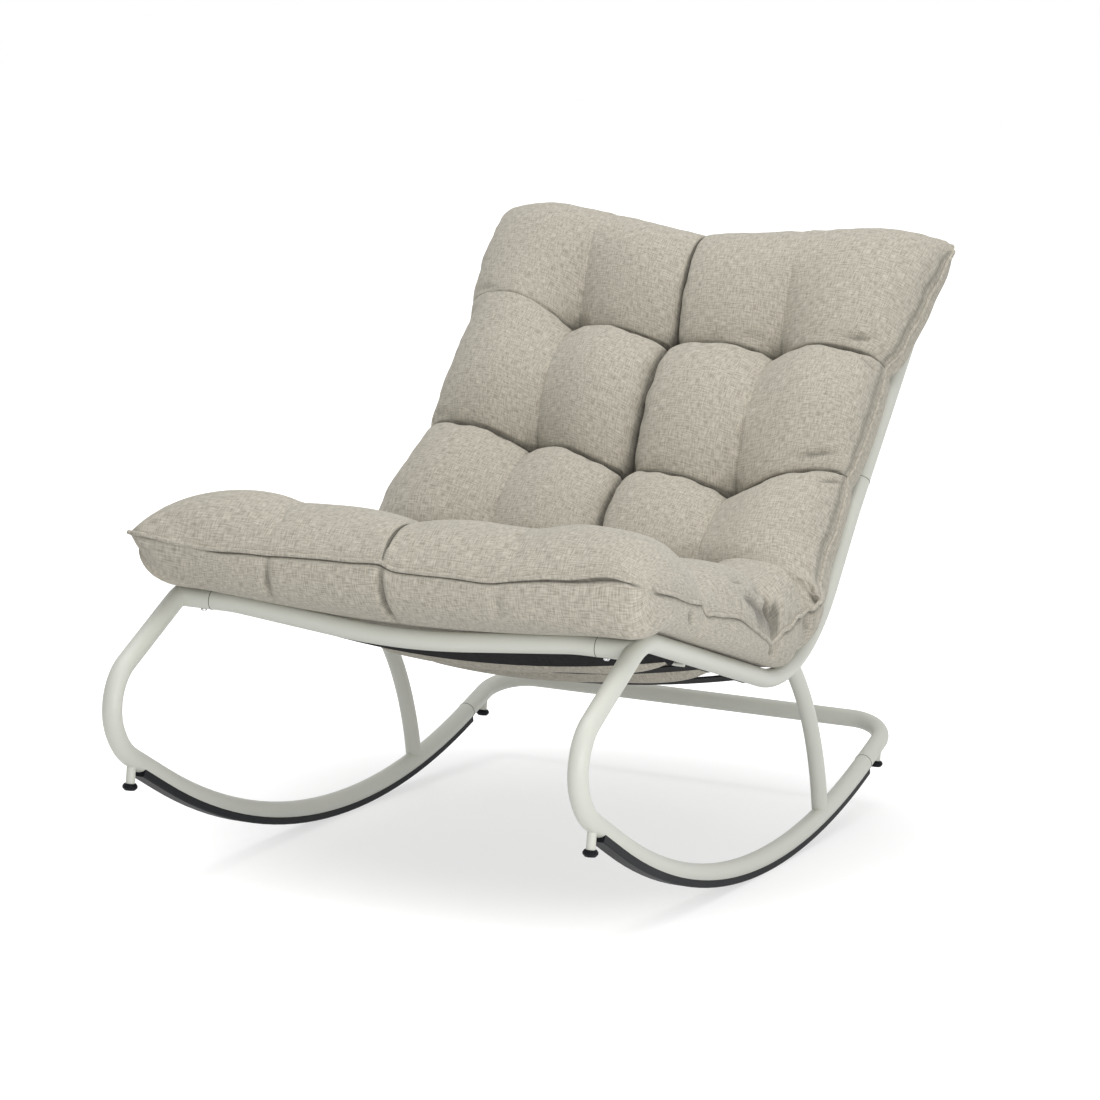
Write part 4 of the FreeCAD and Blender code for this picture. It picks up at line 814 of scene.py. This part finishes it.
class ChairFinish(bpy.types.PropertyGroup):
    """Colours of the chair."""

    paint: FloatVectorProperty(
        name="Paint",
        description="Powder coat on the tubes",
        subtype="COLOR",
        default=(0.56, 0.567, 0.512),
    )
    fabric_light: FloatVectorProperty(
        name="Light yarn",
        description="Paler yarn of the cushion",
        subtype="COLOR",
        default=(0.54, 0.505, 0.43),
    )
    fabric_dark: FloatVectorProperty(
        name="Dark yarn",
        description="Darker yarn of the cushion",
        subtype="COLOR",
        default=(0.30, 0.277, 0.228),
    )
    # Strength of the painted shade that the cushion's stitching attribute lays in its creases, folds and
    # tucks.
    painted_shade: FloatProperty(
        name="Painted shade",
        description="How dark the painted shade lies in the creases, folds and tucks",
        subtype="FACTOR",
        default=0.78,
        min=0.0,
        max=1.0,
    )
    rubber: FloatVectorProperty(
        name="Rubber",
        description="Rocker strips and bumpers",
        subtype="COLOR",
        default=(0.009, 0.010, 0.012),
    )
    webbing: FloatVectorProperty(
        name="Webbing",
        description="Elastic straps",
        subtype="COLOR",
        default=(0.012, 0.012, 0.013),
    )
    steel: FloatVectorProperty(
        name="Steel",
        description="Screws",
        subtype="COLOR",
        default=(0.62, 0.62, 0.63),
    )
    seam: FloatVectorProperty(
        name="Seam",
        description="Dark line where two tubes meet",
        subtype="COLOR",
        default=(0.10, 0.10, 0.085),
    )


class ChairCushion(bpy.types.PropertyGroup):
    """Sizes of the cushion."""

    tuft_pitch: FloatProperty(
        name="Tuft pitch",
        description="Spacing of the tuft columns",
        unit="LENGTH",
        default=0.155,
    )
    welt_radius: FloatProperty(
        name="Welt radius",
        description="Half the thickness of the edge welt",
        unit="LENGTH",
        default=0.0029,
    )
    pressure: FloatProperty(
        name="Stuffing",
        description="Pressure of the stuffing",
        default=2.4,
        min=0.0,
    )
    slack: FloatProperty(
        name="Slack",
        description="Extra cloth sewn into each panel",
        default=0.012,
        min=0.0,
    )
    most_move: FloatProperty(
        name="Most swelling",
        description="How far stuffing may move the cloth",
        unit="LENGTH",
        default=0.010,
    )
    column_hold: FloatProperty(
        name="Column hold",
        description="How firmly the tuft columns hold the cloth",
        subtype="FACTOR",
        default=0.15,
        min=0.0,
        max=1.0,
    )
    columns: IntProperty(
        name="Cells",
        description="Cells across each panel",
        default=20,
        min=4,
    )


class ChairSettings(bpy.types.PropertyGroup):
    """All settings of the chair."""

    finish: PointerProperty(type=ChairFinish)
    cushion: PointerProperty(type=ChairCushion)


class CHAIR_OT_paint_frame(bpy.types.Operator):
    """Powder coat the bent tubes, posts and staples"""

    bl_idname = "rocking_chair.paint_frame"
    bl_label = "Paint frame"

    def execute(self, context):
        dress(paint_material(context.scene.rocking_chair.finish), "frame_paint")
        return {"FINISHED"}


class CHAIR_OT_rubber(bpy.types.Operator):
    """Finish the rocker strips and stop bumpers in black rubber"""

    bl_idname = "rocking_chair.rubber"
    bl_label = "Rubber"

    def execute(self, context):
        dress(rubber_material(context.scene.rocking_chair.finish), "strip_rubber", "bumper_rubber")
        return {"FINISHED"}


class CHAIR_OT_straps(bpy.types.Operator):
    """Finish the straps in black elastic webbing"""

    bl_idname = "rocking_chair.straps"
    bl_label = "Straps"

    def execute(self, context):
        dress(webbing_material(context.scene.rocking_chair.finish), "strap_webbing")
        return {"FINISHED"}


class CHAIR_OT_screws(bpy.types.Operator):
    """Finish the joint screws in bright steel"""

    bl_idname = "rocking_chair.screws"
    bl_label = "Screws"

    def execute(self, context):
        dress(steel_material(context.scene.rocking_chair.finish), "screw_steel")
        return {"FINISHED"}


def cushion_grid(sizes):
    """Upper and lower points of the cushion, row by row, with their width, place along and edge width."""
    pitch = sizes.tuft_pitch / MM
    cells = sizes.columns
    panel = [crowded(cell / cells) for cell in range(cells)]
    shares = [column + share for column in (-2, -1, 0, 1) for share in panel] + [2.0]
    grid = []
    for at in length_stations():
        halves = {side: half_width(at, side) for side in (-1, 1)}
        row = []
        for share in shares:
            reach = abs(share)
            half = halves[1 if share > 0 else -1]
            x = reach * pitch if reach <= 1 else pitch + (reach - 1) * (half - pitch)
            x = math.copysign(x, share)
            drawn = drawn_place(x, at)
            upper = at_rest(x, drawn, top_height(x, at, half, pitch))
            lower = at_rest(*under_place(x, at, half))
            row.append((upper, lower, x, at, half))
        grid.append(row)
    return grid


def cloth_lengths(grid, side):
    """Mean distance of each column across the cloth and of each row along it, measured over the surface."""
    rows, columns = len(grid), len(grid[0])
    across, along = [0.0], [0.0]
    for column in range(1, columns):
        steps = [(row[column][side] - row[column - 1][side]).length for row in grid]
        across.append(across[-1] + sum(steps) / rows)
    for before, row in zip(grid, grid[1:]):
        steps = [(point[side] - last[side]).length for point, last in zip(row, before)]
        along.append(along[-1] + sum(steps) / columns)
    return across, along


def crease_seams(build, layer, points, sewn_rows, cells):
    """Keep the seams and the sewn rows crisp when the cloth is subdivided."""
    rows, columns = len(points), len(points[0])
    middle = columns // 2

    def mark(first, second, crisp):
        build.edges.get((first, second))[layer] = crisp

    for row in range(rows - 1):
        for column in (0, middle, columns - 1):
            mark(points[row][column], points[row + 1][column], SEAM_CRISP)
    for column in range(columns - 1):
        for line, row in enumerate(sewn_rows, 1):
            if cells <= column < columns - 1 - cells or not soft_crease(line, column - middle):
                mark(points[row][column], points[row][column + 1], ROW_CRISP)
        for row in (0, rows - 1):
            mark(points[row][column], points[row][column + 1], SEAM_CRISP)


def stitched_points(upper, lower, sewn_rows, cells):
    """Indices of the points that the underside and the stitching hold, and of those on the tuft columns."""
    middle = len(upper[0]) // 2
    firm, loose = set(), set()
    for row, (above, below) in enumerate(zip(upper, lower)):
        for column, vertex in enumerate(above):
            firm.add(below[column].index)
            if row in sewn_rows or column == middle:
                firm.add(vertex.index)
            elif column in (middle - cells, middle + cells):
                loose.add(vertex.index)
    return sorted(firm), sorted(loose)


def cushion_mesh(sizes):
    """Closed cushion with cloth coordinates in metres, and how firmly the stitching holds each point."""
    grid = cushion_grid(sizes)
    rows, columns = len(grid), len(grid[0])
    sewn_rows = [row for row, points in enumerate(grid) if to_sewn_row(points[0][3]) < SAME_PLACE]
    build = bmesh.new()
    notes = [build.verts.layers.float.new(name) for name in POINT_NOTES]
    crease = build.edges.layers.float.new("crease_edge")
    cloth = build.loops.layers.uv.new("Cloth")

    def new_point(row, column, side):
        point = grid[row][column]
        vertex = build.verts.new(point[0] if side >= 0 else point[1])
        for layer, value in zip(notes, (*point[2:], side)):
            vertex[layer] = value
        return vertex

    def on_edge(row, column):
        return row in (0, rows - 1) or column in (0, columns - 1)

    def under_point(row, column):
        return upper[row][column] if on_edge(row, column) else new_point(row, column, -1.0)

    upper = [
        [new_point(row, column, 0.0 if on_edge(row, column) else 1.0) for column in range(columns)]
        for row in range(rows)
    ]
    lower = [[under_point(row, column) for column in range(columns)] for row in range(rows)]
    for points, side, shift in ((upper, 0, 0.0), (lower, 1, UNDER_CLOTH)):
        across, along = cloth_lengths(grid, side)
        for row in range(rows - 1):
            for column in range(columns - 1):
                corners = [(row, column), (row, column + 1), (row + 1, column + 1), (row + 1, column)]
                if side:
                    corners.reverse()
                face = build.faces.new([points[a][b] for a, b in corners])
                face.smooth = True
                for loop, (a, b) in zip(face.loops, corners):
                    loop[cloth].uv = (across[b] + shift, along[a])
    bmesh.ops.recalc_face_normals(build, faces=build.faces)
    crease_seams(build, crease, upper, sewn_rows, sizes.columns)
    build.verts.index_update()
    firm, loose = stitched_points(upper, lower, sewn_rows, sizes.columns)
    mesh = bpy.data.meshes.new("Folded cushion")
    build.to_mesh(mesh)
    build.free()
    return mesh, firm, loose


def stuff_cushion(piece, firm, loose, sizes):
    """Swell the panels between the stitching with stuffing pressure, then keep the result."""
    before = [vertex.co.copy() for vertex in piece.data.vertices]
    group = piece.vertex_groups.new(name="Stitched")
    group.add(firm, 1.0, "REPLACE")
    group.add(loose, sizes.column_hold, "REPLACE")
    cloth = piece.modifiers.new("Stuffing", "CLOTH")
    settings = cloth.settings
    settings.quality = 6
    settings.mass = 0.25
    settings.tension_stiffness = 12
    settings.compression_stiffness = 12
    settings.shear_stiffness = 4
    settings.bending_stiffness = 0.25
    settings.use_pressure = True
    settings.uniform_pressure_force = sizes.pressure
    settings.shrink_min = -sizes.slack
    settings.vertex_group_mass = group.name
    settings.effector_weights.gravity = 0.0
    cloth.collision_settings.use_collision = False
    cloth.point_cache.frame_start, cloth.point_cache.frame_end = 1, STUFFING_STEPS
    scene = bpy.context.scene
    for step in range(1, STUFFING_STEPS + 1):
        scene.frame_set(step)
    shaped = piece.evaluated_get(bpy.context.evaluated_depsgraph_get()).to_mesh()
    after = [vertex.co.copy() for vertex in shaped.vertices]
    piece.modifiers.remove(cloth)
    scene.frame_set(1)
    for vertex, old, new in zip(piece.data.vertices, before, after):
        move = new - old
        if move.length > sizes.most_move:
            move *= sizes.most_move / move.length
        vertex.co = old + move
    piece.vertex_groups.clear()


def press_relief(mesh, pitch):
    """Press the pulled folds and the stitching into the finished cloth, and store the painted shade of its
    creases, folds and tucks.
    """
    notes = [[entry.value for entry in mesh.attributes[name].data] for name in POINT_NOTES]
    normals = [vertex.normal.copy() for vertex in mesh.vertices]
    # The stitching attribute holds painted shade, which darkens the cloth's colour.
    shade = mesh.attributes.new("stitching", "FLOAT", "POINT")
    for vertex, normal, x, at, half, side in zip(mesh.vertices, normals, *notes):
        if side > 0:
            vertex.co += normal * (side * upper_relief(x, at, half, pitch) * MM)
            shade.data[vertex.index].value = upper_shade(x, at, half, pitch)
        elif side < 0:
            vertex.co -= normal * (side * under_relief(x, at, half) * MM)
            shade.data[vertex.index].value = under_shade(x, at, half)
    for name in POINT_NOTES:
        mesh.attributes.remove(mesh.attributes[name])
    mesh.update()


class CHAIR_OT_cushion(bpy.types.Operator):
    """Sew and stuff the folded cushion"""

    bl_idname = "rocking_chair.cushion"
    bl_label = "Cushion"

    def execute(self, context):
        settings = context.scene.rocking_chair
        mesh, firm, loose = cushion_mesh(settings.cushion)
        piece = link("folded_cushion", mesh)
        stuff_cushion(piece, firm, loose, settings.cushion)
        apply_modifier(piece, "SUBSURF", levels=1, render_levels=1)
        press_relief(mesh, settings.cushion.tuft_pitch / MM)
        mesh.materials.append(fabric_material(settings.finish))
        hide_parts("seat_cushion", "back_cushion")
        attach(piece, "cushion")
        return {"FINISHED"}


class CHAIR_OT_welt(bpy.types.Operator):
    """Run the welt round the cushion's edge"""

    bl_idname = "rocking_chair.welt"
    bl_label = "Welt"

    def execute(self, context):
        settings = context.scene.rocking_chair
        top = [[point[0] for point in row] for row in cushion_grid(settings.cushion)]
        loop = top[0] + [row[-1] for row in top[1:]] + top[-1][-2::-1] + [row[0] for row in top[-2:0:-1]]
        curve = bpy.data.curves.new("Welt line", "CURVE")
        curve.dimensions = "3D"
        curve.bevel_depth = settings.cushion.welt_radius
        curve.bevel_resolution = 2
        line = curve.splines.new("POLY")
        line.points.add(len(loop) - 1)
        for point, place in zip(line.points, loop):
            point.co = (*place, 1)
        line.use_cyclic_u = True
        piece = link("cushion_welt", curve)
        activate(piece)
        bpy.ops.object.convert(target="MESH")
        piece = context.view_layer.objects.active
        piece.name = "cushion_welt"
        mesh = piece.data
        cloth = mesh.uv_layers.new(name="Cloth") if not mesh.uv_layers else mesh.uv_layers[0]
        for index, corner in enumerate(mesh.loops):
            place = mesh.vertices[corner.vertex_index].co
            cloth.data[index].uv = (place.x, place.y + place.z)
        mesh.materials.clear()
        mesh.materials.append(bpy.data.materials["Greige linen weave"])
        bpy.ops.object.shade_smooth()
        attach(piece, "cushion")
        return {"FINISHED"}


def joint_places():
    """Centre and direction of every joint between two tubes, in the resting chair."""
    turn = math.radians(ROCKER_REAR)
    ring = Vector((ROCKER_LINE * math.sin(turn), ROCKER_RADIUS - ROCKER_LINE * math.cos(turn)))
    along = Vector((math.cos(turn), math.sin(turn)))
    joints = [(BACK_JOINT, (BACK_UP + UPPER_UP).normalized()), (ring, along)]
    rail_x, rail_at, rail_height = RAIL_JOINT
    places = []
    for side in (-1, 1):
        for place, direction in joints:
            centre = TO_REST @ Vector((side * SIDE_X, place[0], place[1]))
            places.append((centre, TO_REST.to_3x3() @ Vector((0, direction[0], direction[1]))))
        places.append((at_rest(side * rail_x, rail_at, rail_height), Vector((1, 0, 0))))
    return places


class CHAIR_OT_joint_lines(bpy.types.Operator):
    """Draw the fine dark line where one tube is pushed into the next"""

    bl_idname = "rocking_chair.joint_lines"
    bl_label = "Joint lines"

    def execute(self, context):
        rings = []
        for centre, direction in joint_places():
            deselect()
            bpy.ops.mesh.primitive_torus_add(
                major_radius=TUBE_RADIUS,
                minor_radius=JOINT_LINE,
                major_segments=64,
                minor_segments=8,
            )
            ring = context.active_object
            turn = direction.to_track_quat("Z", "Y").to_matrix().to_4x4()
            bpy.ops.object.mode_set(mode="EDIT")
            bpy.ops.mesh.select_all(action="SELECT")
            bpy.ops.transform.resize(value=(1.0, 1.0, JOINT_FLAT))
            bpy.ops.object.mode_set(mode="OBJECT")
            ring.data.transform(Matrix.Translation(centre) @ turn)
            bpy.ops.object.shade_smooth()
            rings.append(ring)
        deselect()
        for ring in rings:
            ring.select_set(True)
        context.view_layer.objects.active = rings[0]
        bpy.ops.object.join()
        piece = context.active_object
        piece.name = "joint_lines"
        piece.data.materials.clear()
        piece.data.materials.append(joint_material(context.scene.rocking_chair.finish))
        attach(piece, "frame")
        return {"FINISHED"}


# Camera of the photograph in the level chair's frame: place in metres, then yaw, pitch and roll.
CAMERA_PLACE = (1.9708, -4.7359, 0.8068)
CAMERA_YAW, CAMERA_PITCH, CAMERA_ROLL = 22.57, 4.53, 4.53
CAMERA_LENS, CAMERA_SENSOR, CAMERA_FAR = 127.1, 36, 200

# Softboxes: place and aim in metres, width and power.
SOFTBOXES = {
    "Overhead softbox": ((0.1, 0.1, 4.2), (0, 0, 0.3), 4.2, 102),
    "Front softbox": ((2.2, -2.5, 0.6), (0, -0.2, 0.35), 2.2, 54),
}
WORLD_LIGHT = 0.55
# Floor: its size, its grey to the light and to the eye, and the glow, painted light that whitens it
# outwards from under the chair and leaves it greyer beneath, as distances in metres and strengths.
FLOOR_SIZE, FLOOR_GREY, PAPER_GREY = 60, 0.8, 0.42
GLOW_MIDDLE = (0, 0.12, 0)
GLOW_FADE = {"From Min": 0.35, "From Max": 0.95, "To Min": 0.60, "To Max": 1.0}
WHITE = (1, 1, 1, 1)


def camera_matrix():
    yaw, pitch, roll = (math.radians(turn) for turn in (CAMERA_YAW, CAMERA_PITCH, CAMERA_ROLL))
    back = Vector((math.sin(yaw) * math.cos(pitch), -math.cos(yaw) * math.cos(pitch), math.sin(pitch)))
    right = Vector((math.cos(yaw), math.sin(yaw), 0))
    up = back.cross(right)
    turned_right = right * math.cos(roll) + up * math.sin(roll)
    turned_up = up * math.cos(roll) - right * math.sin(roll)
    axes = Matrix((turned_right, turned_up, back)).transposed().to_4x4()
    return TO_REST @ Matrix.Translation(CAMERA_PLACE) @ axes


def add_softbox(name, place, aim, size, power):
    light = bpy.data.lights.new(name, "AREA")
    light.shape = "DISK"
    light.size = size
    light.energy = power
    lamp = link(name, light)
    lamp.location = place
    lamp.rotation_euler = (Vector(aim) - Vector(place)).to_track_quat("-Z", "Y").to_euler()


def seen_directly(tree, place):
    """One for a ray from the eye, straight or by way of a mirror or glass."""
    rays = node(tree, "ShaderNodeLightPath", place).outputs
    x, y = place
    either = math_node(tree, "MAXIMUM", (x + 200, y), rays["Is Camera Ray"], rays["Is Glossy Ray"])
    return math_node(tree, "MAXIMUM", (x + 400, y), either, rays["Is Transmission Ray"])


def floor_material():
    """Pale floor that reads as white paper to the eye, through a glow of painted light that hides the
    shadow away from the chair and is weaker under it, where the soft shadow shows.
    """
    material, tree, shader = new_material("Pale floor")
    shader.inputs["Base Color"].default_value = (FLOOR_GREY, FLOOR_GREY, FLOOR_GREY, 1)
    shader.inputs["Roughness"].default_value = 0.9
    coords = node(tree, "ShaderNodeTexCoord", (-900, 500))
    away = node(tree, "ShaderNodeVectorMath", (-700, 500), operation="DISTANCE")
    away.inputs[1].default_value = GLOW_MIDDLE
    tree.links.new(coords.outputs["Object"], away.inputs[0])
    fade = node(tree, "ShaderNodeMapRange", (-500, 500), interpolation_type="SMOOTHSTEP")
    for name, value in GLOW_FADE.items():
        fade.inputs[name].default_value = value
    tree.links.new(away.outputs["Value"], fade.inputs["Value"])
    # Painted light: the eye sees a glow that rises from under the chair outwards, so the shadow fades away
    # from it.
    glow = node(tree, "ShaderNodeEmission", (-100, 300))
    glow.inputs["Color"].default_value = WHITE
    tree.links.new(fade.outputs["Result"], glow.inputs["Strength"])
    paper = node(tree, "ShaderNodeBsdfDiffuse", (-100, 150))
    paper.inputs["Color"].default_value = (PAPER_GREY, PAPER_GREY, PAPER_GREY, 1)
    shown = node(tree, "ShaderNodeAddShader", (150, 250))
    tree.links.new(glow.outputs[0], shown.inputs[0])
    tree.links.new(paper.outputs[0], shown.inputs[1])
    choice = node(tree, "ShaderNodeMixShader", (350, 150))
    tree.links.new(seen_directly(tree, (-700, 0)), choice.inputs[0])
    tree.links.new(shader.outputs[0], choice.inputs[1])
    tree.links.new(shown.outputs[0], choice.inputs[2])
    tree.links.new(choice.outputs[0], tree.nodes["Material Output"].inputs["Surface"])
    return material


def studio_world():
    """Even light all round, which the eye sees as white."""
    world = bpy.data.worlds.new("Studio")
    world.use_nodes = True
    tree = world.node_tree
    background = tree.nodes["Background"]
    background.inputs["Color"].default_value = WHITE
    background.inputs["Strength"].default_value = WORLD_LIGHT
    white = node(tree, "ShaderNodeBackground", (0, -200))
    white.inputs["Color"].default_value = WHITE
    white.inputs["Strength"].default_value = 1.0
    choice = node(tree, "ShaderNodeMixShader", (250, 0))
    tree.links.new(seen_directly(tree, (-500, 200)), choice.inputs[0])
    tree.links.new(background.outputs[0], choice.inputs[1])
    tree.links.new(white.outputs[0], choice.inputs[2])
    tree.links.new(choice.outputs[0], tree.nodes["World Output"].inputs["Surface"])
    bpy.context.scene.world = world


class CHAIR_OT_stage(bpy.types.Operator):
    """Set the floor, the studio light and the camera"""

    bl_idname = "rocking_chair.stage"
    bl_label = "Stage"

    def execute(self, context):
        deselect()
        bpy.ops.mesh.primitive_plane_add(size=FLOOR_SIZE, location=(0, 0, 0))
        floor = context.active_object
        floor.name = "studio_floor"
        floor.data.materials.append(floor_material())
        studio_world()
        for name, sizes in SOFTBOXES.items():
            add_softbox(name, *sizes)
        lens = bpy.data.cameras.new("Photo camera")
        lens.sensor_width = CAMERA_SENSOR
        lens.lens = CAMERA_LENS
        lens.clip_end = CAMERA_FAR
        camera = link("Photo camera", lens)
        camera.matrix_world = camera_matrix()
        context.scene.camera = camera
        context.scene.view_settings.view_transform = "Standard"
        return {"FINISHED"}


class CHAIR_PT_panel(bpy.types.Panel):
    """Chair tools"""

    bl_label = "Rocking chair"
    bl_idname = "CHAIR_PT_panel"
    bl_space_type = "VIEW_3D"
    bl_region_type = "UI"
    bl_category = "Chair"

    def draw(self, context):
        for step in STEPS:
            self.layout.operator(step.bl_idname)


STEPS = [
    CHAIR_OT_paint_frame,
    CHAIR_OT_rubber,
    CHAIR_OT_straps,
    CHAIR_OT_screws,
    CHAIR_OT_cushion,
    CHAIR_OT_welt,
    CHAIR_OT_joint_lines,
    CHAIR_OT_stage,
]
CLASSES = [ChairFinish, ChairCushion, ChairSettings, *STEPS, CHAIR_PT_panel]


def register():
    for kind in CLASSES:
        bpy.utils.register_class(kind)
    bpy.types.Scene.rocking_chair = PointerProperty(type=ChairSettings)


def unregister():
    del bpy.types.Scene.rocking_chair
    for kind in reversed(CLASSES):
        bpy.utils.unregister_class(kind)


def main():
    register()
    bpy.ops.rocking_chair.paint_frame()
    bpy.ops.rocking_chair.rubber()
    bpy.ops.rocking_chair.straps()
    bpy.ops.rocking_chair.screws()
    bpy.ops.rocking_chair.cushion()
    bpy.ops.rocking_chair.welt()
    bpy.ops.rocking_chair.joint_lines()
    bpy.ops.rocking_chair.stage()


if __name__ == "__main__":
    main()
